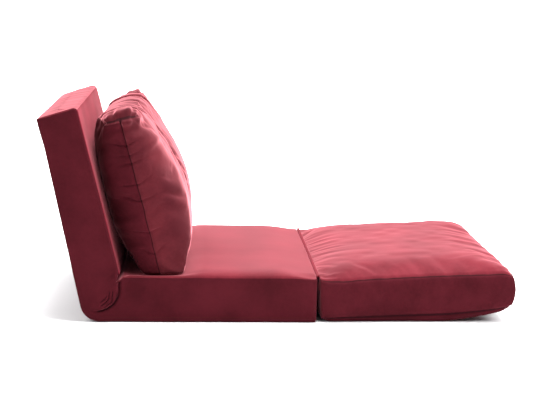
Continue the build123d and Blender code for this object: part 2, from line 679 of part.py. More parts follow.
# Build of the cloth hinge: the bead is the axis, one tape on each side
tape_half = HALF - TAPE_MARGIN
tape_low = AXIS_Z - TAPE_DROP
seat_tape = Pos(FRONT_X + TAPE / 2, 0, (tape_low + AXIS_Z) / 2) * Box(TAPE, 2 * tape_half, TAPE_DROP)
seat_tape += Pos(AXIS_X, 0, AXIS_Z) * Rot(90, 0, 0) * Cylinder(BEAD_RADIUS, 2 * tape_half)
neck = AXIS_X - FRONT_X
seat_tape += Pos(FRONT_X + neck / 2, 0, AXIS_Z - BEAD_NECK / 2) * Box(neck, 2 * tape_half, BEAD_NECK)
foot_tape_top = AXIS_Z - 2 * BEAD_NECK
foot_tape_rise = foot_tape_top - tape_low
foot_tape = Pos(FOOT_X - TAPE / 2, 0, tape_low + foot_tape_rise / 2) * Box(TAPE, 2 * tape_half, foot_tape_rise)
nodes["fold_tape_seat"] = [seat_tape]
nodes["fold_tape_foot"] = [foot_tape]

# Build of the foot pad
foot_end_low = FOOT_SEAM_LOW + FOOT_LOW_RISE + FOOT_LOW_KICK
foot_end_middle = (foot_end_low + FOOT_SEAM_TOP + FOOT_END_RISE) / 2
foot_zip_plane = Plane(origin=(FOOT_END, 0, foot_end_middle), x_dir=(0, 1, 0), z_dir=(1, 0, 0))
foot_zip, foot_slider, foot_slot, foot_zip_room = zip_pieces(foot_zip_plane, FOOT_WIDTH - 2 * ZIP_END)
wadding_out = FABRIC + FIT
wadding_in = wadding_out + WADDING
nodes["foot_cover"] = [foot_form(0) - foot_form(FABRIC) - foot_slot]
nodes["foot_wadding"] = [foot_form(wadding_out) - foot_form(wadding_in) - foot_zip_room]
nodes["foot_foam"] = [foot_form(wadding_in + 2 * FIT)]
nodes["foot_zip"] = [foot_zip]
nodes["foot_zip_slider"] = [foot_slider]

# Build of the pillow
pillow_low = pillow_points()[1]
pillow_zip_plane = Plane(origin=(CORNER_X + pillow_low[0], 0, pillow_low[1]), x_dir=(0, 1, 0), z_dir=(0, 0, -1))
pillow_zip, pillow_slider, pillow_slot, pillow_zip_room = zip_pieces(pillow_zip_plane, PILLOW_WIDTH - 4 * ZIP_END)
nodes["pillow_cover"] = [pillow_form(0) - pillow_form(FABRIC) - pillow_slot]
nodes["pillow_filling"] = [pillow_form(FABRIC + FIT) - pillow_zip_room]
nodes["pillow_zip"] = [pillow_zip]
nodes["pillow_zip_slider"] = [pillow_slider]

os.makedirs("parts", exist_ok=True)
for name, pieces in nodes.items():
    solids = [solid for piece in pieces for solid in piece.solids()]
    export_step(solids[0] if len(solids) == 1 else Compound(solids), f"parts/{name}.step")
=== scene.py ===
import json
import logging
import math
from dataclasses import dataclass
from enum import Enum

import bmesh
import bpy
import numpy as np
from mathutils import Matrix, Vector


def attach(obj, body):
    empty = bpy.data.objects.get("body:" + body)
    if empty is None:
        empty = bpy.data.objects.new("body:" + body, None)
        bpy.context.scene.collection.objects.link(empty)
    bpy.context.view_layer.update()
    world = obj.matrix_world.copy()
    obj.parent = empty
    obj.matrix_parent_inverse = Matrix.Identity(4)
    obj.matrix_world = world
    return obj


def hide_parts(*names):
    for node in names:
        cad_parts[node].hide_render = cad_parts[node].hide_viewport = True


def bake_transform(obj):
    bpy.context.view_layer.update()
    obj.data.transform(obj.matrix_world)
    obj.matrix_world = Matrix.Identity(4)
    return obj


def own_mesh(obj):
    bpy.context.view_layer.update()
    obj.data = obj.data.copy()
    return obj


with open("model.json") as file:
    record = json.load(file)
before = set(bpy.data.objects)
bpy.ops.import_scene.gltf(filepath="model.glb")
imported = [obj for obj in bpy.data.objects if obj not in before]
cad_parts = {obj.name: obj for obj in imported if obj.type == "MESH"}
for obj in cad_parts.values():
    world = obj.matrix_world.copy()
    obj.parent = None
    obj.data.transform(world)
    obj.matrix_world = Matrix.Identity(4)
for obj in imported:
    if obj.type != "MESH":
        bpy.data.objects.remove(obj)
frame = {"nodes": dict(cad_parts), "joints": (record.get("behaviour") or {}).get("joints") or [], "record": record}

log = logging.getLogger("lounger")

Array = np.ndarray
# Two values that belong together: mostly where a smooth step starts and stops, or the two sizes of a cell.
Span = tuple[float, float]
# Lean of the back from upright, in degrees, which its cover and the pillow share.
BACK_LEAN = 14.0
# A share of a box past this lies on the box's edge.
RIM = 0.999
# A distance, in metres, at which no seam shows.
FAR = 1.0


class Body(Enum):
    """The moving sections that pieces ride on."""

    SEAT = "seat"
    BACK = "back"
    FOOT = "foot"
    PILLOW = "pillow"


class Slot(Enum):
    """The record's material slots."""

    VELVET = "velvet"
    FOAM = "foam"
    FIBRE = "fibre"
    FRAME_STEEL = "frame_steel"
    HINGE_STEEL = "hinge_steel"
    WEBBING = "webbing"
    BASE_CLOTH = "base_cloth"
    ZIP = "zip"
    SLIDER = "slider"


class PaintedTone(Enum):
    """Lit and shaded copies of the one velvet, given to faces by the way they face the light: painted light and
    shade.
    """

    # Lit copy on level faces, shaded copy on sides and the pillow's rear, dimmed copy on the back's front and the
    # hinge tapes, lit pillow copy on the pillow's front.
    UP = "Velvet_polyester_painted_lit"
    END_ON = "Velvet_polyester_painted_shade"
    DOWN = "Velvet_polyester_painted_dim"
    LOOSE = "Velvet_polyester_painted_pillow_sheen"


def linear(colour: str) -> tuple[float, float, float, float]:
    """Turns an sRGB hex colour into linear values.

    Args:
        colour: six hex digits after a hash sign.
    Returns:
        Red, green, blue and an alpha of one.
    """
    parts = np.array([int(colour[i:i + 2], 16) for i in (1, 3, 5)]) / 255.0
    low = parts / 12.92
    high = ((parts + 0.055) / 1.055) ** 2.4
    red, green, blue = np.where(parts <= 0.04045, low, high)
    return float(red), float(green), float(blue), 1.0


def add_node(
    tree: bpy.types.NodeTree,
    kind: str,
    values: dict | None = None,
    links: dict | None = None,
    **settings: object,
) -> bpy.types.Node:
    """Adds one shader node with its settings, socket values and links.

    Args:
        tree: the material's node tree.
        kind: Blender's name for the node.
        values: socket values by name or number.
        links: output sockets to join, by input name or number.
        settings: properties of the node itself.
    Returns:
        The new node.
    """
    node = tree.nodes.new(kind)
    for name, value in settings.items():
        setattr(node, name, value)
    for socket, value in (values or {}).items():
        node.inputs[socket].default_value = value
    for socket, source in (links or {}).items():
        tree.links.new(source, node.inputs[socket])
    return node


def ease(value: Array, start: float, stop: float) -> Array:
    """Smooth step: 0 before start, 1 after stop, with a level tangent at both.

    Args:
        value: the values to step.
        start: where the step starts.
        stop: where it stops.
    Returns:
        A share from 0 to 1 for each value.
    """
    part = np.clip((value - start) / (stop - start), 0.0, 1.0)
    return part * part * (3.0 - 2.0 * part)


def bell(value: Array, width: float) -> Array:
    """Bell curve: 1 at zero and 1/e at the width on either side."""
    return np.exp(-(value / width) ** 2)


def at_least(share: Array, least: float) -> Array:
    """Squeezes shares from 0 to 1 into the range from the least to 1."""
    return least + (1.0 - least) * share


def ripple(across: Array, along: Array, seed: int) -> Array:
    """Value noise on a plane, from -1 to 1, used for folds and dents in cloth.

    A hashed value sits at each whole-number corner, and a fifth-order ease joins the four
    corners of a cell, so the result is smooth and the same on every run.

    Args:
        across: first coordinate, in cells.
        along: second coordinate, in cells.
        seed: picks one pattern.
    Returns:
        The noise at each point.
    """
    first, second = np.floor(across), np.floor(along)
    fa, fb = across - first, along - second
    fa = fa ** 3 * (fa * (fa * 6.0 - 15.0) + 10.0)
    fb = fb ** 3 * (fb * (fb * 6.0 - 15.0) + 10.0)

    def corner(da: int, db: int) -> Array:
        """Hashed value at one corner of the cell; large primes scatter the corners.

        Args:
            da: 0 or 1, along the first coordinate.
            db: 0 or 1, along the second coordinate.
        Returns:
            A value from -1 to 1 for each point.
        """
        code = (first.astype(np.int64) + da) * 374761393 + (second.astype(np.int64) + db) * 668265263
        code = (code + seed * 2246822519) & 0xFFFFFFFF
        code = ((code ^ (code >> 13)) * 1274126177) & 0xFFFFFFFF
        code = code ^ (code >> 16)
        return (code & 0xFFFF) / 32767.5 - 1.0

    near = corner(0, 0) * (1.0 - fa) + corner(1, 0) * fa
    far = corner(0, 1) * (1.0 - fa) + corner(1, 1) * fa
    return near * (1.0 - fb) + far * fb


@dataclass(frozen=True)
class Rumple:
    """Two layers of cloth noise: broad dents, and finer ones at a share of their height."""

    broad: Span
    fine: Span
    share: float
    seeds: tuple[int, int]

    def at(self, across: Array, along: Array) -> Array:
        """Noise at each point.

        Args:
            across: first coordinate, in metres.
            along: second coordinate, in metres.
        Returns:
            The sum of the two layers.
        """
        large = ripple(across / self.broad[0], along / self.broad[1], self.seeds[0])
        return large + self.share * ripple(across / self.fine[0], along / self.fine[1], self.seeds[1])


@dataclass(frozen=True)
class CreaseLines:
    """Fine creases: narrow valleys along the lines where a noise passes through zero.

    A second noise bends the lines, and a third leaves the cloth smoother in patches.
    """

    depth: float
    width: float
    pitch: float
    waver: float
    waver_cell: Span
    seed: int
    patch_cell: Span = (1.0, 1.0)
    patch_span: Span = (0.0, 1.0)
    patch_least: float = 1.0

    def valley(self, across: Array, along: Array, place: tuple[Array, Array]) -> Array:
        """Depth of the creases at each point, a bell curve of the noise.

        Args:
            across: place across the creases, in metres.
            along: place along them, in cells.
            place: the two coordinates of the bending and the patches, in metres.
        Returns:
            The depth in metres.
        """
        first, second = place
        bend = self.waver * ripple(first / self.waver_cell[0], second / self.waver_cell[1], self.seed)
        lines = ripple((across + bend) / self.pitch, along, self.seed + 1)
        patch = ripple(first / self.patch_cell[0], second / self.patch_cell[1], self.seed + 2)
        patch = at_least(ease(patch, *self.patch_span), self.patch_least)
        return self.depth * bell(lines, self.width) * patch


def make_piece(name: str, points: Array, quads: Array) -> bpy.types.Object:
    """Makes a smooth-shaded mesh object from arrays, with doubles merged and faces outward.

    Args:
        name: the piece's name.
        points: one row of x, y, z for each vertex, in metres.
        quads: four vertex numbers for each face.
    Returns:
        The new object, at the origin.
    """
    mesh = bpy.data.meshes.new(name)
    mesh.from_pydata(points.tolist(), [], quads.tolist())
    work = bmesh.new()
    work.from_mesh(mesh)
    bmesh.ops.remove_doubles(work, verts=work.verts[:], dist=1e-6)
    bmesh.ops.recalc_face_normals(work, faces=work.faces[:])
    work.to_mesh(mesh)
    work.free()
    mesh.polygons.foreach_set("use_smooth", np.ones(len(mesh.polygons), dtype=bool))
    piece = bpy.data.objects.new(name, mesh)
    bpy.context.scene.collection.objects.link(piece)
    return piece


def lay_painted_tones(piece: bpy.types.Object, velvet: dict[PaintedTone, bpy.types.Material], tone_picks: Array) -> None:
    """Gives each face of a piece one of the lit and shaded copies of the velvet, which paint light and shade by
    facing.

    Args:
        piece: the piece of upholstery.
        velvet: one material for each copy.
        tone_picks: for each face, the place of its copy in the list of copies.
    """
    for nap in PaintedTone:
        piece.data.materials.append(velvet[nap])
    piece.data.polygons.foreach_set("material_index", tone_picks.astype(np.int32))


def tone_number(nap: PaintedTone) -> int:
    """Place of a velvet copy in the list of lit and shaded copies."""
    return list(PaintedTone).index(nap)


def read_points(mesh: bpy.types.Mesh) -> Array:
    """The mesh's vertices as rows of x, y, z.

    Args:
        mesh: the mesh to read.
    Returns:
        One row for each vertex, in metres.
    """
    flat = np.empty(len(mesh.vertices) * 3, dtype=np.float32)
    mesh.vertices.foreach_get("co", flat)
    return flat.reshape(-1, 3).astype(float)


def read_normals(mesh: bpy.types.Mesh) -> Array:
    """The mesh's vertex normals as rows of x, y, z.

    Args:
        mesh: the mesh to read.
    Returns:
        One row of length one for each vertex.
    """
    flat = np.empty(len(mesh.vertices) * 3, dtype=np.float32)
    mesh.vertex_normals.foreach_get("vector", flat)
    return flat.reshape(-1, 3).astype(float)


def write_points(mesh: bpy.types.Mesh, points: Array) -> None:
    """Puts rows of x, y, z back into the mesh's vertices.

    Args:
        mesh: the mesh to change.
        points: one row for each vertex, in metres.
    """
    mesh.vertices.foreach_set("co", points.astype(np.float32).ravel())
    mesh.update()


def box_shell(cells: tuple[int, int, int]) -> tuple[Array, Array]:
    """The skin of a box as six grids that share their edges.

    Each grid runs over two of the three parameters while the third stays at its limit.

    Args:
        cells: how many faces the box has along each parameter.
    Returns:
        The three parameters of each vertex, from -1 to 1, and four vertex numbers for each face.
    """
    sizes = np.array(cells)
    corners = []
    for axis in range(3):
        one, two = (axis + 1) % 3, (axis + 2) % 3
        i, j = np.meshgrid(np.arange(sizes[one]), np.arange(sizes[two]), indexing="ij")
        i, j = i.ravel(), j.ravel()
        for level in (0, sizes[axis]):
            loop = [(i, j), (i + 1, j), (i + 1, j + 1), (i, j + 1)]
            if level == 0:
                loop = loop[::-1]
            face = np.empty((len(i), 4, 3), dtype=np.int64)
            for number, (p, q) in enumerate(loop):
                face[:, number, axis] = level
                face[:, number, one] = p
                face[:, number, two] = q
            corners.append(face)
    lattice = np.concatenate(corners).reshape(-1, 3)
    keys = (lattice[:, 0] * (sizes[1] + 1) + lattice[:, 1]) * (sizes[2] + 1) + lattice[:, 2]
    _, first, back = np.unique(keys, return_index=True, return_inverse=True)
    params = lattice[first] / sizes * 2.0 - 1.0
    return params, back.reshape(-1, 4)


@dataclass(frozen=True)
class Filling:
    """How a sewn case fills out: the settings of its cloth simulation."""

    pressure: float
    spare: float
    reach: float
    bending: float = 0.6
    stretch: float = 20.0
    shear: float = 8.0
    mass: float = 0.25
    damping: float = 3.0
    quality: int = 6
    frames: int = 20

    def swell(self, piece: bpy.types.Object, held: Array) -> None:
        """Inflates the piece between its held seams and keeps the result in its mesh.

        Args:
            piece: a closed case with its seams already in place.
            held: one weight for each vertex, 1 where a seam or a rest holds the cloth.
        """
        start = read_points(piece.data)
        group = piece.vertex_groups.new(name="held")
        for weight in np.unique(np.round(held, 2)):
            if weight > 0.0:
                chosen = np.nonzero(np.round(held, 2) == weight)[0]
                group.add(chosen.tolist(), float(weight), "REPLACE")
        cloth = piece.modifiers.new("Filling", "CLOTH")
        cloth.settings.quality = self.quality
        cloth.settings.mass = self.mass
        cloth.settings.tension_stiffness = self.stretch
        cloth.settings.compression_stiffness = self.stretch
        cloth.settings.shear_stiffness = self.shear
        cloth.settings.bending_stiffness = self.bending
        cloth.settings.air_damping = self.damping
        cloth.settings.use_pressure = True
        cloth.settings.uniform_pressure_force = self.pressure
        cloth.settings.shrink_min = -self.spare
        cloth.settings.vertex_group_mass = group.name
        cloth.settings.effector_weights.gravity = 0.0
        cloth.collision_settings.use_collision = False
        cloth.point_cache.frame_start = 1
        cloth.point_cache.frame_end = self.frames
        scene = bpy.context.scene
        for number in range(1, self.frames + 1):
            scene.frame_set(number)
        done = piece.evaluated_get(bpy.context.evaluated_depsgraph_get())
        moved = read_points(done.data) - start
        piece.modifiers.remove(cloth)
        piece.vertex_groups.remove(group)
        scene.frame_set(1)
        length = np.linalg.norm(moved, axis=1, keepdims=True)
        log.info("%s swelled by up to %.1f mm", piece.name, 1000.0 * float(length.max()))
        share = self.reach * np.tanh(length / self.reach) / np.maximum(length, 1e-9)
        write_points(piece.data, start + moved * share)


def mark_seams_and_creases(piece: bpy.types.Object, away: Array, fade: float = 0.020) -> None:
    """Stores how near each vertex is to a seam, 1 on it and 0 at the fade distance; on the cover's side panels the
    marks follow creases, where the velvet paints shade.

    Args:
        piece: the sewn case.
        away: distance of each vertex from its nearest seam or crease, in metres.
        fade: distance at which the mark is gone.
    """
    layer = piece.data.attributes.new("seam_and_crease_near", "FLOAT", "POINT")
    layer.data.foreach_set("value", np.clip(1.0 - away / fade, 0.0, 1.0).astype(np.float32))


def sink_seams(piece: bpy.types.Object, depth: float, start: float = 0.55) -> None:
    """Draws the cloth in along its marked seams, as thread does.

    Args:
        piece: the finished case with its seam marks.
        depth: how far the seam itself sinks.
        start: seam mark at which the cloth begins to sink.
    """
    near = np.empty(len(piece.data.vertices), dtype=np.float32)
    piece.data.attributes["seam_and_crease_near"].data.foreach_get("value", near)
    points, normals = read_points(piece.data), read_normals(piece.data)
    write_points(piece.data, points - normals * (depth * ease(near, start, 1.0))[:, None])


def smooth_levels(piece: bpy.types.Object, levels: int) -> None:
    """Adds a subdivision surface with the same levels in the view and the render.

    Args:
        piece: the piece to round off.
        levels: how many times its faces are split.
    """
    rounder = piece.modifiers.new("Subdivision", "SUBSURF")
    rounder.levels = levels
    rounder.render_levels = levels


def finish_mesh(piece: bpy.types.Object) -> None:
    """Applies the piece's modifiers, so its final mesh is its own.

    Args:
        piece: the piece to finish.
    """
    done = piece.evaluated_get(bpy.context.evaluated_depsgraph_get())
    mesh = bpy.data.meshes.new_from_object(done)
    piece.modifiers.clear()
    piece.data = mesh
    mesh.polygons.foreach_set("use_smooth", np.ones(len(mesh.polygons), dtype=bool))


def two_tones(
    tree: bpy.types.NodeTree,
    pattern: bpy.types.NodeSocket,
    tones: tuple[str, str],
    places: Span = (0.0, 1.0),
) -> bpy.types.NodeSocket:
    """Colours a pattern with a ramp between two tones.

    Args:
        tree: the material's node tree.
        pattern: the pattern's values.
        tones: sRGB colours of its low and its high values.
        places: values at which the ramp starts and stops.
    Returns:
        The ramp's colour.
    """
    ramp = add_node(tree, "ShaderNodeValToRGB", links={"Fac": pattern})
    for stop, tone, place in zip(ramp.color_ramp.elements, tones, places):
        stop.position = place
        stop.color = linear(tone)
    return ramp.outputs["Color"]


def relief(
    tree: bpy.types.NodeTree, pattern: bpy.types.NodeSocket, strength: float, depth_mm: float
) -> bpy.types.NodeSocket:
    """Turns a pattern into small dents.

    Args:
        tree: the material's node tree.
        pattern: the pattern's heights.
        strength: how much the dents show, up to 1.
        depth_mm: how deep they are.
    Returns:
        The bent normal.
    """
    values = {"Strength": strength, "Distance": depth_mm / 1000.0}
    return add_node(tree, "ShaderNodeBump", values, {"Height": pattern}).outputs["Normal"]


@dataclass(frozen=True)
class Finish:
    """A surface finish that makes one procedural material."""

    name: str

    def shader(self) -> tuple[bpy.types.Material, bpy.types.Node, bpy.types.NodeSocket]:
        """Starts the material.

        Returns:
            The material, its surface shader and a socket that gives Object coordinates.
        """
        material = bpy.data.materials.new(self.name)
        material.use_nodes = True
        tree = material.node_tree
        tree.nodes.clear()
        surface = add_node(tree, "ShaderNodeBsdfPrincipled")
        add_node(tree, "ShaderNodeOutputMaterial", links={"Surface": surface.outputs["BSDF"]})
        where = add_node(tree, "ShaderNodeTexCoord")
        return material, surface, where.outputs["Object"]


@dataclass(frozen=True)
class PileVelvet(Finish):
    """Polyester velvet, knitted and sheared: short upright pile over a soft backing.

    The pile is dark looked at end on and pale at a grazing angle, and it lies in brushed
    patches a hand wide that are a shade lighter or darker than their neighbours.
    """

    deep: str = "#4a0e17"
    brushed: str = "#5c1620"
    # Dark line along seams, which on the cover's side panels follows the creases as painted shade.
    seam: str = "#1c0408"
    sheen_colour: str = "#ff98a2"
    sheen: float = 0.75
    sheen_rough: float = 0.38
    gloss: float = 0.10
    rough: float = 0.9
    patch_mm: float = 130.0
    nap_mm: float = 9.0
    nap_share: float = 0.35
    nap_bump: float = 0.12
    nap_depth_mm: float = 1.0
    tone_places: Span = (0.50, 0.86)
    seam_and_crease_marks: Span = (0.84, 0.96)
    seam_and_crease_dark: float = 0.85

    @staticmethod
    def lit_and_shaded_copies() -> dict[PaintedTone, bpy.types.Material]:
        """Makes the lit and shaded copies of the velvet: darker bases with little sheen paint shade, and strong
        sheen paints light.

        Returns:
            The four materials by copy.
        """
        velvets = (
            PileVelvet(PaintedTone.UP.value),
            # Shaded copy: a darker base and little sheen, painted shade on faces turned from the light.
            PileVelvet(PaintedTone.END_ON.value, "#350a11", "#421018", sheen=0.14, gloss=0.05),
            # Dimmed copy: little sheen, painted shade on the back's front and along the hinge.
            PileVelvet(PaintedTone.DOWN.value, "#54111b", "#661a25", sheen=0.20, gloss=0.03),
            # Pillow's lit copy: a darker base under strong sheen, painted light on the pillow's front.
            PileVelvet(PaintedTone.LOOSE.value, "#3e0c14", "#4e151c", sheen=0.96),
        )
        return {PaintedTone(velvet.name): velvet.material() for velvet in velvets}

    def material(self) -> bpy.types.Material:
        """Makes the velvet: brushed patches, a fine nap, dark seams, painted shade in the cover's creases and a
        pale sheen.

        Returns:
            The new material.
        """
        made, surface, place = self.shader()
        tree = made.node_tree
        patches = add_node(
            tree, "ShaderNodeTexNoise", {"Scale": 1000.0 / self.patch_mm, "Detail": 2.0}, {"Vector": place}
        )
        # The real nap is under a millimetre; it is drawn at 9 mm so that it shows in the render.
        nap = add_node(
            tree,
            "ShaderNodeTexNoise",
            {"Scale": 1000.0 / self.nap_mm, "Detail": 3.0, "Roughness": 0.6},
            {"Vector": place},
        ).outputs["Fac"]
        both = add_node(
            tree,
            "ShaderNodeMath",
            {1: self.nap_share},
            {0: nap, 2: patches.outputs["Fac"]},
            operation="MULTIPLY_ADD",
        )
        pile = two_tones(tree, both.outputs["Value"], (self.deep, self.brushed), self.tone_places)
        # A seam is a dark line two to three millimetres wide, where the pile is drawn in by thread. On the cover's
        # side panels the marks follow the crumpled creases instead, and there the dark is painted shade.
        marks = add_node(tree, "ShaderNodeAttribute", attribute_name="seam_and_crease_near")
        first, full = self.seam_and_crease_marks
        line = add_node(
            tree,
            "ShaderNodeMapRange",
            {"From Min": first, "From Max": full, "To Min": 0.0, "To Max": self.seam_and_crease_dark},
            {"Value": marks.outputs["Fac"]},
            interpolation_type="SMOOTHSTEP",
        )
        colour = add_node(
            tree,
            "ShaderNodeMix",
            {"B": linear(self.seam)},
            {"Factor": line.outputs["Result"], "A": pile},
            data_type="RGBA",
        )
        tree.links.new(colour.outputs["Result"], surface.inputs["Base Color"])
        tree.links.new(relief(tree, nap, self.nap_bump, self.nap_depth_mm), surface.inputs["Normal"])
        surface.inputs["Roughness"].default_value = self.rough
        surface.inputs["Specular IOR Level"].default_value = self.gloss
        surface.inputs["Sheen Weight"].default_value = self.sheen
        surface.inputs["Sheen Roughness"].default_value = self.sheen_rough
        surface.inputs["Sheen Tint"].default_value = linear(self.sheen_colour)
        return made


@dataclass(frozen=True)
class PatternFinish(Finish):
    """A finish whose one pattern gives both its two tones and its dents."""

    dark: str
    pale: str
    pale_from: float = 1.0
    bump: float = 0.5
    depth_mm: float = 1.0
    rough: float = 0.9

    def pattern(self, tree: bpy.types.NodeTree, place: bpy.types.NodeSocket) -> bpy.types.NodeSocket:
        """The pattern's values at a place, which each finish makes its own way.

        Args:
            tree: the material's node tree.
            place: Object coordinates.
        Returns:
            The pattern's values.
        """
        raise NotImplementedError

    def material(self) -> bpy.types.Material:
        """Makes the material from its pattern.

        Returns:
            The new material.
        """
        made, surface, place = self.shader()
        tree = made.node_tree
        pattern = self.pattern(tree, place)
        colour = two_tones(tree, pattern, (self.dark, self.pale), (0.0, self.pale_from))
        tree.links.new(colour, surface.inputs["Base Color"])
        tree.links.new(relief(tree, pattern, self.bump, self.depth_mm), surface.inputs["Normal"])
        surface.inputs["Roughness"].default_value = self.rough
        return made


@dataclass(frozen=True)
class CellFoam(PatternFinish):
    """Flexible foam, slab cut: open cells on a matt cut face."""

    dark: str = "#cdbf98"
    pale: str = "#e9e0c4"
    bump: float = 0.3
    rough: float = 0.95
    cell_mm: float = 2.0

    def pattern(self, tree: bpy.types.NodeTree, place: bpy.types.NodeSocket) -> bpy.types.NodeSocket:
        """Round cells, seen as small dents."""
        values = {"Scale": 1000.0 / self.cell_mm}
        return add_node(tree, "ShaderNodeTexVoronoi", values, {"Vector": place}).outputs["Distance"]


@dataclass(frozen=True)
class LoftedFibre(PatternFinish):
    """Polyester fibre, carded and lofted: white, soft, with loose strands."""

    dark: str = "#d6d6d2"
    pale: str = "#f3f2ee"
    depth_mm: float = 2.0
    rough: float = 1.0
    strand_mm: float = 6.0
    stretch: float = 0.25

    def pattern(self, tree: bpy.types.NodeTree, place: bpy.types.NodeSocket) -> bpy.types.NodeSocket:
        """Curling strands, drawn out across the part.

        Args:
            tree: the material's node tree.
            place: Object coordinates.
        Returns:
            The pattern's values.
        """
        drawn = add_node(tree, "ShaderNodeMapping", {"Scale": (1.0, self.stretch, 1.0)}, {"Vector": place})
        values = {"Scale": 1000.0 / self.strand_mm, "Detail": 4.0, "Distortion": 1.5}
        links = {"Vector": drawn.outputs["Vector"]}
        return add_node(tree, "ShaderNodeTexNoise", values, links).outputs["Fac"]


@dataclass(frozen=True)
class CoatedSteel(PatternFinish):
    """Steel, powder coated or enamelled: a satin skin with a slight orange-peel surface."""

    dark: str = "#1c1d1f"
    pale: str = "#2b2c2f"
    bump: float = 0.15
    depth_mm: float = 0.5
    rough: float = 0.45
    peel_mm: float = 1.6

    def pattern(self, tree: bpy.types.NodeTree, place: bpy.types.NodeSocket) -> bpy.types.NodeSocket:
        """Fine orange peel."""
        values = {"Scale": 1000.0 / self.peel_mm, "Detail": 1.0}
        return add_node(tree, "ShaderNodeTexNoise", values, {"Vector": place}).outputs["Fac"]


@dataclass(frozen=True)
class WovenTape(PatternFinish):
    """Polyester yarn, woven flat: ribs across the tape and a dull surface."""

    dark: str = "#1d1e20"
    pale: str = "#3a3b3e"
    bump: float = 0.4
    depth_mm: float = 0.6
    rough: float = 0.8
    rib_mm: float = 2.2

    def pattern(self, tree: bpy.types.NodeTree, place: bpy.types.NodeSocket) -> bpy.types.NodeSocket:
        """One rib for each pass of the yarn.

        A wave texture of scale one turns through 20 radians in each metre.

        Args:
            tree: the material's node tree.
            place: Object coordinates.
        Returns:
            The pattern's values.
        """
        values = {"Scale": 1000.0 / self.rib_mm / 20.0 * math.pi, "Distortion": 0.4, "Detail": 1.0}
        ribs = add_node(tree, "ShaderNodeTexWave", values, {"Vector": place}, bands_direction="Y")
        return ribs.outputs["Fac"]


@dataclass(frozen=True)
class BondedCloth(PatternFinish):
    """Polypropylene fibre, spun and point bonded: dark cloth with a grid of pressed dots."""

    dark: str = "#161617"
    pale: str = "#242426"
    pale_from: float = 0.35
    depth_mm: float = 0.8
    dot_mm: float = 5.0

    def pattern(self, tree: bpy.types.NodeTree, place: bpy.types.NodeSocket) -> bpy.types.NodeSocket:
        """Bonded dots, pressed into loose fibre."""
        values = {"Scale": 1000.0 / self.dot_mm, "Randomness": 0.1}
        return add_node(tree, "ShaderNodeTexVoronoi", values, {"Vector": place}).outputs["Distance"]


@dataclass(frozen=True)
class PlatedSteel(Finish):
    """Steel plate, stamped and zinc plated: cool grey metal with a faint spangle."""

    bright: str = "#c9ced3"
    dull: str = "#9fa6ad"
    rough: Span = (0.28, 0.46)
    spangle_mm: float = 7.0

    def material(self) -> bpy.types.Material:
        """Makes the plating: patches of brighter and duller zinc.

        Returns:
            The new material.
        """
        made, surface, place = self.shader()
        tree = made.node_tree
        values = {"Scale": 1000.0 / self.spangle_mm}
        spangle = add_node(tree, "ShaderNodeTexVoronoi", values, {"Vector": place})
        colour = two_tones(tree, spangle.outputs["Color"], (self.dull, self.bright))
        values = {"To Min": self.rough[0], "To Max": self.rough[1]}
        rough = add_node(tree, "ShaderNodeMapRange", values, {"Value": spangle.outputs["Distance"]})
        tree.links.new(colour, surface.inputs["Base Color"])
        tree.links.new(rough.outputs["Result"], surface.inputs["Roughness"])
        surface.inputs["Metallic"].default_value = 1.0
        return made


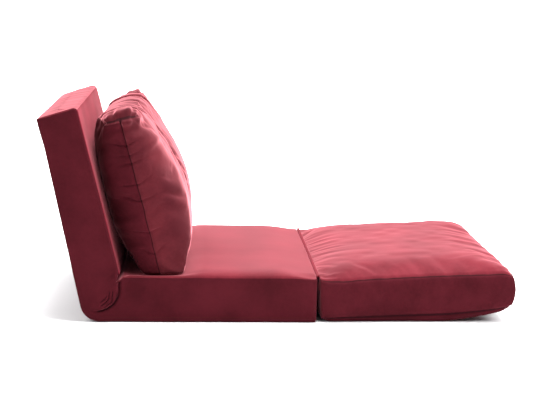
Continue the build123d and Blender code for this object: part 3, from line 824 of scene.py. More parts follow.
@dataclass(frozen=True)
class SideFold:
    """The cloth that crumples on a side panel where the back folds against the seat.

    Angles are in degrees about the fold's centre, with 0 towards the seat's front. The short
    folds' two spans hold a middle and a half width.
    """

    centre: Span = (-0.314, 0.101)
    radius: float = 0.068
    drift: float = 0.0016
    drift_degrees: float = 14.0
    start_degrees: Span = (-112.0, -64.0)
    stop_degrees: Span = (34.0, 44.0)
    groove_depth: float = 0.0060
    groove_extra: float = 0.0030
    extra_degrees: Span = (-50.0, 20.0)
    groove_width: float = 0.0040
    lobe_height: float = 0.0080
    lobe_width: float = 0.030
    lobe_edge: float = 0.006
    lip_height: float = 0.0022
    lip_width: float = 0.012
    pitch: float = 0.0100
    height: float = 0.0050
    slant: float = 0.00016
    slant_degrees: float = -40.0
    waver: float = 0.004
    waver_cell: Span = (18.0, 0.02)
    folds_gap: Span = (-0.017, 0.014)
    folds_degrees: Span = (-38.0, 34.0)
    folds_from: float = 0.3
    groove_shade: float = 0.7
    shade_loss: float = 0.0022
    loss_degrees: Span = (-20.0, 10.0)
    fold_shade: float = 0.0008
    unmarked: float = 0.02
    marked_from: Span = (0.2, 0.6)

    def crumple(self, flat: Array) -> tuple[Array, Array]:
        """Height of the crumpled cloth and how near each point is to a crease.

        A bell-shaped groove follows an arc about the centre and then a straight line up. The
        back's side stands proud inside it, a low lip lies outside it, and a rectified sine wave
        makes the short folds beside it.

        Args:
            flat: x and z of each vertex.
        Returns:
            The move outwards at each vertex, and its distance from the nearest crease, which sets the painted
            shade there.
        """
        reach = flat - np.array(self.centre)
        angle = np.degrees(np.arctan2(reach[:, 1], reach[:, 0]))
        drift = self.drift * ripple(angle / self.drift_degrees, np.zeros(len(angle)), 21)
        gap = np.where(angle > 0.0, reach[:, 0], np.linalg.norm(reach, axis=1)) - self.radius - drift
        along = ease(angle, *self.start_degrees) * (1.0 - ease(angle, *self.stop_degrees))
        deep = self.groove_depth + self.groove_extra * ease(angle, *self.extra_degrees)
        groove = -deep * bell(gap, self.groove_width)
        inside = np.where(gap < 0.0, 1.0, 0.0)
        lobe = self.lobe_height * bell(gap, self.lobe_width) * inside * ease(-gap, 0.0, self.lobe_edge)
        lip = self.lip_height * bell(gap, self.lip_width) * (1.0 - inside)
        slant = self.slant * (angle - self.slant_degrees)
        waver = self.waver * ripple(angle / self.waver_cell[0], gap / self.waver_cell[1], 22)
        wave = (gap + slant + waver) / self.pitch
        middle, half = self.folds_gap
        here = np.exp(-((gap - middle) / half) ** 4)
        middle, half = self.folds_degrees
        here = here * np.exp(-((angle - middle) / half) ** 4)
        folds = self.height * here * (np.abs(np.sin(wave * math.pi)) - 0.5)
        valley = np.abs(wave - np.round(wave)) * self.pitch + self.fold_shade
        main = np.abs(gap) * self.groove_shade + self.shade_loss * ease(angle, *self.loss_degrees)
        nearest = np.where(here > self.folds_from, np.minimum(main, valley), main)
        nearest = nearest + self.unmarked * (1.0 - ease(along, *self.marked_from))
        return along * (groove + lobe + lip + folds), nearest


@dataclass
class LoungeCover:
    """The velvet case that runs from the seat round the fold and up the back, in one piece."""

    velvet: dict[PaintedTone, bpy.types.Material]
    pivot: Span
    half_width: float = 0.400
    seat_front: float = 0.350
    seat_top: float = 0.140
    seat_base: float = 0.001
    lean_degrees: float = BACK_LEAN
    front_offset: float = 0.080
    rear_offset: float = 0.0590
    rear_taper: float = 0.019
    rear_flare: float = 0.004
    flare_share: Span = (0.85, 1.0)
    back_top: float = 0.5770
    edge_round: float = 0.008
    front_round: float = 0.007
    front_dome: float = 0.002
    nose_round: float = 0.013
    nose_tilt: float = 0.006
    nose_dome: float = 0.003
    rear_round: float = 0.004
    bend_reach: float = 0.006
    lip: float = 0.001
    spacing: float = 1.35
    crown: float = 0.001
    tuck_clear: Span = (0.010, 0.030)
    seat_swell: float = 0.012
    edge_swell: float = 0.002
    swell_power: int = 22
    swell_rear: Span = (-0.075, 0.015)
    swell_front: Span = (0.22, 0.345)
    front_loss: float = 0.8
    edge_lift: float = 0.0040
    lift_edge: Span = (0.92, 0.98)
    lift_stop: Span = (-0.12, 0.10)
    pillow_dent: float = 0.0035
    dent_stop: Span = (-0.110, -0.030)
    dent_edge: Span = (0.90, 0.95)
    front_droop: float = 0.0050
    droop_start: Span = (0.27, 0.347)
    droop_edge: Span = (0.86, 0.97)
    dent_height: float = 0.0011
    dent_clear: Span = (0.02, 0.08)
    seat_dents: Rumple = Rumple((0.16, 0.22), (0.07, 0.11), 0.5, (3, 4))
    back_dents: Rumple = Rumple((0.24, 0.18), (0.12, 0.08), 0.5, (5, 6))
    side_height: float = 0.0012
    side_dents: Rumple = Rumple((0.14, 0.10), (0.05, 0.04), 0.4, (7, 8))
    wrinkle_height: float = 0.0016
    wrinkle_drop: Span = (0.04, 0.01)
    wrinkles: Rumple = Rumple((0.026, 0.14), (0.012, 0.1), 0.6, (11, 12))
    side_fold: SideFold = SideFold()
    # Facing limits that pick the lit, dimmed and shaded velvet copies, and the side panels that carry painted
    # crease shade.
    side_facing: float = 0.5
    level_facing: float = 0.6
    front_facing: float = 0.8
    run_steps: int = 80
    fold_steps: int = 38
    wide_steps: int = 92
    tall_steps: int = 56
    corner_steps: int = 6
    edge_steps: int = 7
    end_steps: int = 11

    @property
    def hinge(self) -> Array:
        """Where the back turns, in x and z."""
        return np.array(self.pivot)

    @property
    def up(self) -> Array:
        """Direction up the back, in x and z."""
        lean = math.radians(self.lean_degrees)
        return np.array([-math.sin(lean), math.cos(lean)])

    @property
    def out(self) -> Array:
        """Direction out of the back's front face, in x and z."""
        lean = math.radians(self.lean_degrees)
        return np.array([math.cos(lean), math.sin(lean)])

    @property
    def corner(self) -> Array:
        """Where the planes of the seat's top and the back's front meet, in x and z.

        Returns:
            The inner corner of the fold.
        """
        up, out = self.up, self.out
        rise = (self.seat_top - self.pivot[1] - self.front_offset * out[1]) / up[1]
        return self.hinge + up * rise + out * self.front_offset

    @property
    def bisector(self) -> Array:
        """Direction from the hinge to the inner corner, halfway between seat and back."""
        reach = self.corner - self.hinge
        return reach / np.linalg.norm(reach)

    @property
    def across(self) -> Array:
        """Direction across the fold, from the seat to the back."""
        bisector = self.bisector
        return np.array([-bisector[1], bisector[0]])

    def tuck(self) -> Array:
        """The narrow tuck at the crease, from the seat's top to the back's front face.

        Each point has the radius about the pivot that puts it level with the seat's top once
        the back is down: the section's thickness above the pivot over the cosine of the point's
        angle from upright in that pose. The tuck therefore opens out flat.

        Returns:
            An array of x and z.
        """
        bisector = self.bisector
        weight = np.linspace(0.0, 1.0, self.fold_steps)
        place = 0.5 - np.sin(np.arcsin(1.0 - 2.0 * weight) / 3.0)
        aside = (2.0 * place - 1.0) * self.bend_reach
        angle = math.acos(bisector[1]) * (1.0 - 2.0 * weight)
        first = self.front_offset / np.cos(angle)
        radius = self.front_offset / np.cos(angle - np.arcsin(aside / first))
        inward = np.sqrt(radius ** 2 - aside ** 2)
        return self.hinge + inward[:, None] * bisector + aside[:, None] * self.across

    def sections(self) -> tuple[Array, Array]:
        """Inner and outer point of each section, from the seat's front to the back's top.

        The outer points run along the floor, round an arc about the pivot and up the rear.
        The inner points run along the seat's top, through the tuck at the crease and up the
        back's front face. A power of the share along each run sets them closer at the tuck.

        Returns:
            Two arrays of x and z.
        """
        pivot, up, out = self.hinge, self.up, self.out
        fold_in = self.tuck()
        share = np.linspace(0.0, 1.0, self.run_steps)
        run = 1.0 - (1.0 - share) ** self.spacing
        front = self.seat_front - self.front_round
        seat_x = front + (fold_in[0, 0] + self.lip - self.seat_front + self.front_round) * run
        seat_in = np.stack([seat_x, np.full(len(run), self.seat_top)], axis=1)
        floor_x = front + (pivot[0] - self.seat_front + self.front_round) * run
        seat_out = np.stack([floor_x, np.full(len(run), self.seat_base)], axis=1)
        climb = share[:, None] ** self.spacing
        top = self.back_top - self.nose_round
        first = (fold_in[-1] + up * self.lip - pivot) @ up
        back_in = pivot + out * self.front_offset + up * (first + (top - first) * climb)
        flare = self.rear_flare * ease(climb, *self.flare_share)
        back_out = pivot - out * (self.rear_offset - self.rear_taper * climb + flare)
        back_out = back_out + up * (top * climb)
        turn = np.linspace(0.0, 1.0, self.fold_steps + 2)[1:-1]
        angle = np.radians(270.0 - (90.0 - self.lean_degrees) * turn)
        radius = self.rear_offset + (pivot[1] - self.seat_base - self.rear_offset) * (1.0 - turn)
        arc = pivot + radius[:, None] * np.stack([np.cos(angle), np.sin(angle)], axis=1)
        return np.concatenate([seat_in, fold_in, back_in]), np.concatenate([seat_out, arc, back_out])

    def ring(self) -> tuple[Array, Array, Array, Array]:
        """The section's rounded rectangle as shares, once round from the outer near corner.

        Returns:
            Side of each point across the seat, share through the thickness, and the two
            components of the corner's rounding.
        """
        wide = np.linspace(-1.0, 1.0, self.wide_steps)
        tall = np.linspace(0.0, 1.0, self.tall_steps)
        turn = np.linspace(0.0, math.pi / 2.0, self.corner_steps)[1:-1]
        arc_a, arc_b = np.sin(turn), 1.0 - np.cos(turn)
        zero, one = np.zeros_like, np.ones_like
        side = [wide, one(turn), one(tall), one(turn), wide[::-1], -one(turn), -one(tall), -one(turn)]
        share = [zero(wide), zero(turn), tall, one(turn), one(wide), one(turn), tall[::-1], zero(turn)]
        round_y = [zero(wide), arc_a, one(tall), arc_a[::-1], zero(wide), -arc_a, -one(tall), -arc_a[::-1]]
        round_d = [-one(wide), arc_b - 1.0, zero(tall), 1.0 - arc_b[::-1],
                   one(wide), 1.0 - arc_b, zero(tall), arc_b[::-1] - 1.0]
        return tuple(np.concatenate(part) for part in (side, share, round_y, round_d))

    def rings(
        self,
        ends: tuple[Array, Array],
        pull_y: Array,
        pull_out: Array,
        pull_in: Array,
        push: Array,
        way: Array,
    ) -> Array:
        """Rings of points for sections whose edges are pulled in and whose plane is pushed along.

        A point lies on the line from its section's outer point to its inner point, at its share
        of the thickness that the pulls leave, with the corners rounded off.

        Args:
            ends: inner and outer points of the sections.
            pull_y: how far each ring's sides are drawn in.
            pull_out: how far its outer edge is drawn in.
            pull_in: how far its inner edge is drawn in.
            push: how far its points are moved on.
            way: direction in which they are moved on, in x and z.
        Returns:
            Rings of rows of x, y, z.
        """
        inner, outer = ends
        side, share, round_y, round_d = self.ring()
        thick = np.linalg.norm(inner - outer, axis=1)[:, None]
        line = (inner - outer)[:, None, :] / thick[:, :, None]
        room = np.maximum(thick - pull_out - pull_in, 0.0)
        curve = np.minimum(np.maximum(self.edge_round - pull_y, 0.0)[:, None], room / 2.0)
        y = side * (self.half_width - pull_y[:, None] - curve) + curve * round_y
        depth = pull_out + curve + share * (room - 2.0 * curve) + curve * round_d
        plane = outer[:, None, :] + line * depth[:, :, None] + push[:, :, None] * way
        return np.stack([plane[:, :, 0], y, plane[:, :, 1]], axis=2)

    def build(self) -> bpy.types.Object:
        """Sweeps the section along the seat and back, closes both ends and adds the cloth's creases.

        The ends close over a quarter-round edge and then in shrinking rings down to the
        section's middle line.

        Returns:
            The finished cover.
        """
        inner, outer = self.sections()
        share = self.ring()[1]
        turn = np.linspace(0.0, math.pi / 2.0, self.edge_steps)[1:]
        shrink = np.linspace(0.0, 1.0, self.end_steps)[1:]
        dome = np.sin(shrink * math.pi / 2.0)

        def closing(edge: float, half: float) -> Array:
            """How far an end's rings are drawn in: over a quarter round, then to the middle."""
            return np.concatenate([edge * (1 - np.cos(turn)), edge + (half - edge) * shrink])

        still = np.zeros(len(inner))
        level = still[:, None]
        ahead = np.array([1.0, 0.0])
        body = self.rings((inner, outer), still, level, level, level, ahead)
        edge = self.front_round
        pull = closing(edge, (self.seat_top - self.seat_base) / 2.0)
        push = np.concatenate([edge * np.sin(turn), edge + self.front_dome * dome])
        front = self.rings((inner[:1], outer[:1]), pull, pull[:, None], pull[:, None], push[:, None], ahead)
        last = (inner[-1:], outer[-1:])
        nose = self.rear_round + (self.nose_round - self.rear_round) * share[None, :]
        half = float(np.linalg.norm(inner[-1] - outer[-1])) / 2.0
        over = self.nose_round - nose + nose * np.sin(turn[:, None])
        beyond = np.broadcast_to(self.nose_round + self.nose_dome * dome[:, None], (len(dome), len(share)))
        tilt = self.nose_tilt * share[None, :]
        top = self.rings(
            last,
            closing(edge, half),
            closing(self.rear_round, half)[:, None],
            closing(self.nose_round, half)[:, None],
            np.concatenate([over, beyond]) + tilt,
            self.up,
        )
        start = self.rings(last, still[:1], level[:1], level[:1], self.nose_round - nose + tilt, self.up)
        grid = np.concatenate([front[::-1], body, start, top])
        long, round_count = grid.shape[:2]
        number = np.arange(long * round_count).reshape(long, round_count)
        after = np.roll(number, -1, axis=1)
        quads = np.stack([number[:-1], after[:-1], after[1:], number[1:]], axis=-1).reshape(-1, 4)
        piece = make_piece("lounge_cover", grid.reshape(-1, 3), quads)
        lay_painted_tones(piece, self.velvet, self.tone_picks(piece.data))
        self.crease(piece)
        return piece

    def tone_picks(self, mesh: bpy.types.Mesh) -> Array:
        """The velvet copy of each face, painted light and shade by facing: lit on the level faces, dimmed on the
        back's front, shaded elsewhere.

        Args:
            mesh: the swept cover, before its creases.
        Returns:
            One number for each face.
        """
        normals, centres = (np.empty(len(mesh.polygons) * 3, dtype=np.float32) for _ in range(2))
        mesh.polygons.foreach_get("normal", normals)
        mesh.polygons.foreach_get("center", centres)
        normals, centres = normals.reshape(-1, 3)[:, [0, 2]], centres.reshape(-1, 3)[:, [0, 2]]
        on_back = (centres - self.hinge) @ self.across > 0.0
        tone_picks = np.full(len(normals), tone_number(PaintedTone.END_ON))
        level = np.where(on_back, normals @ self.up, normals[:, 1])
        tone_picks[level > self.level_facing] = tone_number(PaintedTone.UP)
        tone_picks[on_back & (normals @ self.out > self.front_facing)] = tone_number(PaintedTone.DOWN)
        return tone_picks

    def crease(self, piece: bpy.types.Object) -> None:
        """Moves the cover's points along their normals for its crown, soft dents and side folds.

        The seat's top swells between its edges by a high power of the share across, is lifted
        along its edges and pressed in under the pillow, and droops at its front corners. Noise
        makes the dents.

        Args:
            piece: the swept cover.
        """
        points, normals = read_points(piece.data), read_normals(piece.data)
        x, y, z = points.T
        out = self.out
        flat = np.stack([x, z], axis=1)
        on_seat = (flat - self.hinge) @ self.across < 0.0
        from_back = normals[:, 0] * out[0] + normals[:, 2] * out[1]
        upward = np.clip(np.where(on_seat, normals[:, 2], from_back), 0, 1)
        edge = np.abs(y) / self.half_width
        height = -self.crown * edge ** 2 * upward
        away = np.linalg.norm(flat - self.corner, axis=1)
        seat = on_seat * upward * ease(away, *self.tuck_clear)
        full = ease(x, *self.swell_rear) * (1.0 - self.front_loss * ease(x, *self.swell_front))
        swell = self.edge_swell + self.seat_swell * (1.0 - np.clip(edge, 0, 1) ** self.swell_power)
        height += seat * full * swell
        height += seat * self.edge_lift * ease(edge, *self.lift_edge) * (1.0 - ease(x, *self.lift_stop))
        dent = seat * self.pillow_dent * (1.0 - ease(x, *self.dent_stop))
        height -= dent * (1.0 - ease(edge, *self.dent_edge))
        height -= seat * self.front_droop * ease(x, *self.droop_start) * ease(edge, *self.droop_edge)
        dents = np.where(on_seat, self.seat_dents.at(x, y), self.back_dents.at(y, z))
        height += upward * ease(away, *self.dent_clear) * self.dent_height * dents
        sideways = np.abs(normals[:, 1]) ** 2
        height += sideways * self.side_height * self.side_dents.at(x, z)
        height += self.top_wrinkles(points, normals)
        fold, gap = self.side_fold.crumple(flat)
        height += sideways * fold
        write_points(piece.data, points + normals * height[:, None])
        # The side panels' crease distances become dark marks in the velvet: painted shade along the crumpled
        # folds.
        mark_seams_and_creases(piece, np.where(sideways > self.side_facing, gap, FAR))

    def top_wrinkles(self, points: Array, normals: Array) -> Array:
        """Height of the fine wrinkles across the back's top face.

        Each wrinkle runs from the rear edge to the front edge, and noise along the width spaces
        them unevenly.

        Args:
            points: the cover's vertices.
            normals: their normals.
        Returns:
            The move along the normal at each vertex.
        """
        up = self.up
        facing = np.clip(normals[:, 0] * up[0] + normals[:, 2] * up[1], 0.0, 1.0) ** 3
        level = points[:, 0] * up[0] + points[:, 2] * up[1]
        top = float(level.max())
        near_top = ease(level, top - self.wrinkle_drop[0], top - self.wrinkle_drop[1])
        return facing * near_top * self.wrinkle_height * self.wrinkles.at(points[:, 1], points[:, 0])

    def dress(self, piece: bpy.types.Object) -> None:
        """Bakes the cover's transform and puts it in place of the seat's and back's plain covers and foams.

        Args:
            piece: the finished cover.
        """
        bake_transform(piece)
        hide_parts("seat_cover", "seat_foam_top", "seat_foam_base")
        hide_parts("back_cover", "back_foam_front", "back_foam_rear")


@dataclass
class FootPad:
    """The soft boxed pad that hinges on the seat's front edge."""

    velvet: dict[PaintedTone, bpy.types.Material]
    start_x: float = 0.3570
    end_x: float = 0.9512
    half_width: float = 0.395
    draw_in: float = 0.005
    seam_top: float = 0.1245
    seam_low: float = 0.010
    seam_waver: float = 0.0014
    waver_cells: Span = (7.0, 9.0)
    end_rise: float = 0.031
    mid_rise: float = 0.004
    hinge_rise: float = 0.010
    rise_fade: float = 0.03
    hinge_fill: float = 0.005
    fill_fade: float = 0.05
    fill_edge: Span = (0.88, 0.97)
    corner_droop: float = 0.004
    droop_end: Span = (0.90, 1.0)
    droop_edge: Span = (0.88, 1.0)
    floor_gap: float = 0.001
    low_rise: float = 0.028
    low_kick: float = 0.012
    end_kick: float = 0.040
    kick_start: float = 0.62
    kick_power: float = 1.5
    crown: float = 0.032
    crown_outer: float = 10.0
    crown_hinge: float = 8.0
    crown_across: float = 7.0
    crown_shoulder: float = 0.75
    base_flat: Span = (0.10, 0.02)
    base_back: float = 0.006
    side_bulge: float = 0.007
    end_bulge: float = 0.0028
    ear: float = 0.0085
    ear_edge: Span = (0.86, 0.96)
    corner_cut: float = 0.003
    corner_power: int = 18
    panel_dents: float = 0.0030
    broad_dents: Span = (9.0, 1.3)
    fine_dents: Span = (21.0, 2.2)
    fine_share: float = 0.6
    side_shift: float = 5.0
    gather_hinge: Span = (0.0026, 0.085)
    gather_end: Span = (0.0048, 0.080)
    gather_side: Span = (0.0014, 0.050)
    gather_seam: float = 0.012
    gather_bend: float = 0.35
    bend_cell: Span = (0.16, 0.2)
    gather_least: float = 0.35
    least_cell: float = 0.11
    end_held: Span = (0.9, 0.35)
    hinge_share: float = 0.98
    hinge_unmarked: float = 0.02
    seam_sink: float = 0.0035
    cells: tuple[int, int, int] = (76, 100, 14)
    filling: Filling = Filling(pressure=2.0, spare=0.010, reach=0.008)

    def place(self, params: Array) -> Array:
        """Puts each vertex of the box on the pad's sewn shape.

        Length and width are straight shares of the pad; the top crowns up from its seam, the
        boxing bulges between its two seams, the base drops from its seam to the floor and lifts
        towards the outer end, and the corners are cut back by a high power of both shares.

        Args:
            params: three shares of each vertex, from -1 to 1.
        Returns:
            Rows of x, y, z.
        """
        a, b, c = params.T
        edge = np.abs(b)
        part = (a + 1.0) / 2.0
        seam_top = self.seam_top + self.end_rise * part + self.hinge_rise * np.exp(-part / self.rise_fade)
        seam_top += self.mid_rise * np.sin(math.pi * part) ** 2
        seam_top += self.hinge_fill * np.exp(-part / self.fill_fade) * (1.0 - ease(edge, *self.fill_edge))
        seam_top -= self.corner_droop * ease(a, *self.droop_end) * ease(edge, *self.droop_edge)
        seam_top += self.seam_waver * ripple(a * self.waver_cells[0], b * self.waver_cells[1], 35)
        kick = np.clip((part - self.kick_start) / (1.0 - self.kick_start), 0.0, 1.0)
        seam_low = self.seam_low + self.low_rise * part + self.low_kick * kick ** 2
        floor = self.floor_gap + self.end_kick * kick ** self.kick_power
        half_length = (self.end_x - self.start_x) / 2.0
        bulge = (self.side_bulge + self.panel_dents * self.dents(params)) * (1.0 - c ** 2)
        corner = self.corner_cut * np.abs(a) ** self.corner_power * edge ** self.corner_power
        x = (self.start_x + self.end_x) / 2.0 + a * half_length
        end = (self.end_bulge + self.ear * ease(edge, *self.ear_edge)) * (1.0 - c ** 2)
        x += np.where(a > 0.0, end * np.abs(a) ** 3, 0.0) - np.sign(a) * corner
        x += self.base_back * (1.0 - c) / 2.0 * (1.0 - part)
        half = self.half_width - self.draw_in * np.sin(math.pi * part)
        y = b * (half + bulge) - np.sign(b) * corner
        rise_a = 1.0 - np.abs(a) ** np.where(a > 0.0, self.crown_outer, self.crown_hinge)
        rise_b = np.clip(1.0 - edge ** self.crown_across, 0.0, 1.0) ** self.crown_shoulder
        top = seam_top + self.crown * rise_a * rise_b + self.gathers(x, y, params)
        wall = seam_low + (seam_top - seam_low) * (c + 1.0) / 2.0
        flat_a = ease(1.0 - np.abs(a), 0.0, self.base_flat[0])
        flat_b = ease(1.0 - edge, 0.0, self.base_flat[1])
        base = seam_low - (seam_low - floor) * flat_a * flat_b
        z = np.where(c > RIM, top, np.where(c < -RIM, base, wall))
        return np.stack([x, y, z], axis=1)

    def dents(self, params: Array) -> Array:
        """Noise for the boxing's soft dents, with a shift that keeps the two sides unlike.

        Args:
            params: three shares of each vertex.
        Returns:
            The noise at each vertex.
        """
        a, b, c = params.T
        shift = self.side_shift * b
        broad = ripple(a * self.broad_dents[0], c * self.broad_dents[1] + shift, 36)
        fine = ripple(a * self.fine_dents[0] + c, c * self.fine_dents[1] + shift, 37)
        return broad + self.fine_share * fine

    def gathers(self, x: Array, y: Array, params: Array) -> Array:
        """Height of the gathers that run in from the top seam.

        Beside each edge, noise that is narrow along the seam and long across it is faded out
        with the distance from the seam, and held to nothing on the seam itself.

        Args:
            x: place along the pad.
            y: place across the pad.
            params: three shares of each vertex.
        Returns:
            The height at each vertex.
        """
        a, b, _ = params.T
        length, width = self.end_x - self.start_x, 2.0 * self.half_width
        total = np.zeros(len(x))
        edges = [
            ((a + 1.0) / 2.0 * length, y, self.gather_hinge, 31),
            ((1.0 - a) / 2.0 * length, y, self.gather_end, 32),
            ((b + 1.0) / 2.0 * width, x, self.gather_side, 33),
            ((1.0 - b) / 2.0 * width, x, self.gather_side, 34),
        ]
        for far, along, (size, reach), seed in edges:
            bend = ripple(along / self.bend_cell[0], far / self.bend_cell[1], seed + 50)
            bent = along + self.gather_bend * far * bend
            lines = Rumple((0.027, 0.16), (0.013, 0.08), 0.5, (seed, seed + 10)).at(bent, far)
            spread = np.abs(ripple(along / self.least_cell, np.zeros(len(along)), seed + 20))
            strength = at_least(spread, self.gather_least)
            seam = 1.0 - np.exp(-far / self.gather_seam)
            total += size * strength * lines * np.exp(-far / reach) * seam
        return total

    def build(self) -> bpy.types.Object:
        """Sews the case, fills it, and rounds it off.

        Returns:
            The finished pad.
        """
        params, quads = box_shell(self.cells)
        piece = make_piece("foot_pad", self.place(params), quads)
        on_top = params[quads][:, :, 2].min(axis=1) > RIM
        # The top gets the lit velvet copy and the boxing and base the shaded one: painted light and shade by
        # facing.
        lay_painted_tones(piece, self.velvet, np.where(on_top, tone_number(PaintedTone.UP), tone_number(PaintedTone.END_ON)))
        a, b, c = params.T
        edge = np.abs(b)
        seam = (np.abs(c) > RIM) & ((np.abs(a) > RIM) | (edge > RIM))
        end_middle = (a > RIM) & (edge < self.end_held[0]) & (np.abs(c) < self.end_held[1])
        held = np.where(seam | (c < -RIM) | (a < -RIM) | end_middle, 1.0, 0.0)
        self.filling.swell(piece, held)
        side = np.minimum((1.0 - a) * (self.end_x - self.start_x) / 2.0, (1.0 - edge) * self.half_width)
        boxing = (1.0 - np.abs(c)) * (self.seam_top - self.seam_low) / 2.0
        boxing += np.where(a < -self.hinge_share, self.hinge_unmarked, 0.0)
        mark_seams_and_creases(piece, np.where(np.abs(c) > RIM, side, boxing))
        smooth_levels(piece, 1)
        finish_mesh(piece)
        sink_seams(piece, self.seam_sink)
        return piece

    def dress(self, piece: bpy.types.Object) -> None:
        """Puts the pad on the foot section in place of its plain cover.

        Args:
            piece: the finished pad.
        """
        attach(piece, Body.FOOT.value)
        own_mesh(piece)
        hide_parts("foot_cover", "foot_wadding", "foot_foam")


@dataclass
class BackPillow:
    """The loose wide pillow that stands on the seat and leans on the back."""

    velvet: dict[PaintedTone, bpy.types.Material]
    half_width: float = 0.370
    foot: Span = (-0.124, 0.1385)
    crease: Span = (-0.2406, 0.140)
    lean_degrees: float = 14.3
    tall: float = 0.482
    front_foot: float = 0.067
    front_top: float = 0.047
    front_belly: float = 0.130
    belly_height: float = 0.38
    below_power: float = 0.9
    above_power: float = 1.1
    rear_foot: float = 0.056
    rear_top: float = 0.054
    rear_swell: float = 0.060
    rear_cut: float = 0.20
    cut_edge: Span = (0.72, 1.0)
    end_corner: float = 0.012
    end_round_front: float = 0.050
    end_round_rear: float = 0.085
    channel_depth: float = 0.17
    channel_rear: float = 0.06
    channel_top: float = 0.022
    channel_width: float = 0.026
    top_swell: float = 0.026
    top_from: Span = (0.72, 1.0)
    edge_power: int = 8
    foot_pinch: float = 0.0105
    pinch_fade: float = 0.25
    rear_shade_top: float = 0.97
    late_folds: float = 0.55
    face_gap: float = 0.0008
    foot_sink: float = 0.001
    seam_sink: float = 0.0045
    end_edge: Span = (0.80, 0.97)
    end_height: float = 0.0065
    end_rise: float = 0.35
    end_waver: float = 0.02
    waver_cell: float = 0.09
    seam_fade: float = 0.55
    far_share: float = 0.45
    end_folds: Rumple = Rumple((0.052, 0.16), (0.026, 0.11), 0.55, (42, 43))
    gather_height: float = 0.0060
    gather_reach: float = 0.060
    gather_edge: Span = (0.45, 0.85)
    gather_least: float = 0.25
    gathers: Rumple = Rumple((0.030, 0.12), (0.015, 0.07), 0.6, (44, 45))
    end_gather_height: float = 0.0090
    end_gather_reach: float = 0.045
    end_gathers: Rumple = Rumple((0.022, 0.10), (0.011, 0.06), 0.5, (46, 47))
    channel_height: float = 0.0060
    channel_cell: Span = (0.034, 0.13)
    channel_reach: float = 0.10
    channel_seam: float = 0.012
    front_from: float = 0.9
    rear_share: float = 0.3
    broad_height: float = 0.0040
    broad_cell: Span = (0.17, 0.15)
    end_facing: Span = (0.45, 0.85)
    end_creases: CreaseLines = CreaseLines(
        depth=0.0058, width=0.16, pitch=0.030, waver=0.010, waver_cell=(0.05, 0.06), seed=61,
        patch_cell=(0.09, 0.12), patch_span=(-0.25, 0.45), patch_least=0.25)
    end_crease_rise: float = 0.30
    end_crease_run: float = 0.11
    end_crease_reach: float = 0.085
    end_shift: float = 7.0
    top_creases: CreaseLines = CreaseLines(
        depth=0.0058, width=0.18, pitch=0.034, waver=0.012, waver_cell=(0.06, 0.08), seed=64,
        patch_cell=(0.13, 0.15), patch_span=(-0.3, 0.4), patch_least=0.3)
    top_crease_fan: float = 0.25
    top_crease_run: float = 0.20
    top_crease_reach: float = 0.11
    channel_creases: CreaseLines = CreaseLines(
        depth=0.0050, width=0.18, pitch=0.050, waver=0.012, waver_cell=(0.07, 0.08), seed=67)
    channel_crease_slant: float = 0.9
    channel_crease_run: float = 0.16
    channel_crease_reach: float = 0.12
    front_facing: Span = (0.3, 0.7)
    foot_smooth: Span = (0.015, 0.05)
    cells: tuple[int, int, int] = (34, 92, 78)
    filling: Filling = Filling(pressure=2.0, spare=0.012, reach=0.016)

    def place(self, params: Array) -> Array:
        """Puts each vertex of the box on the pillow's sewn shape.

        The front swells from its foot to a belly on a quarter sine and tapers to the top on a
        quarter cosine, the rear follows a power of the parabola 4s(1-s), ends close over an
        ellipse whose depth is small at the boxed corners, the foot is level with the seat, and a
        bell-shaped dip across the middle makes the sewn channel.

        Args:
            params: shares through the thickness, across and up, from -1 to 1.
        Returns:
            Rows of x, y, z.
        """
        a, b, c = params.T
        a = np.sin(a * math.pi / 2.0)
        part = (c + 1.0) / 2.0
        arch = np.clip(4.0 * part * (1.0 - part), 0.0, 1.0)
        end_round = np.where(a > 0.0, self.end_round_front, self.end_round_rear)
        y = b * (self.half_width - (self.end_corner + end_round * arch ** 0.5)
                 * (1.0 - np.sqrt(np.clip(1.0 - a ** 2, 0.0, 1.0))))
        dip = bell(y, self.channel_width)
        below = np.sin(math.pi / 2.0 * np.clip(part / self.belly_height, 0.0, 1.0)) ** self.below_power
        above = np.clip((part - self.belly_height) / (1.0 - self.belly_height), 0.0, 1.0)
        above = np.clip(np.cos(math.pi / 2.0 * above), 0.0, 1.0) ** self.above_power
        front = np.where(part < self.belly_height,
                         self.front_foot + (self.front_belly - self.front_foot) * below,
                         self.front_top + (self.front_belly - self.front_top) * above)
        rear = self.rear_foot + (self.rear_top - self.rear_foot) * part + self.rear_swell * arch ** 0.5
        rear = rear * (1.0 - self.rear_cut * ease(np.abs(b), *self.cut_edge))
        through = np.where(a > 0.0, a * front * (1.0 - self.channel_depth * dip),
                           a * rear * (1.0 - self.channel_rear * dip))
        lean = math.radians(self.lean_degrees)
        low = -through * math.tan(lean)
        level = low * (1.0 - part) + self.tall * part
        crown = self.top_swell * (1.0 - 0.25 * a ** 2 - 0.25 * np.maximum(a, 0.0) ** 2)
        crown = crown * np.sqrt(np.clip(1.0 - b ** self.edge_power, 0.0, 1.0)) - self.channel_top * dip
        level += np.where(c > RIM, crown, crown * ease(part, *self.top_from))
        x = self.foot[0] + through * math.cos(lean) - level * math.sin(lean)
        z = self.foot[1] + through * math.sin(lean) + level * math.cos(lean)
        pinch = self.foot_pinch * np.exp(-np.abs(a) / self.pinch_fade) * (1.0 - b ** self.edge_power)
        return np.stack([x, y, z + np.where(c < -RIM, pinch, 0.0)], axis=1)

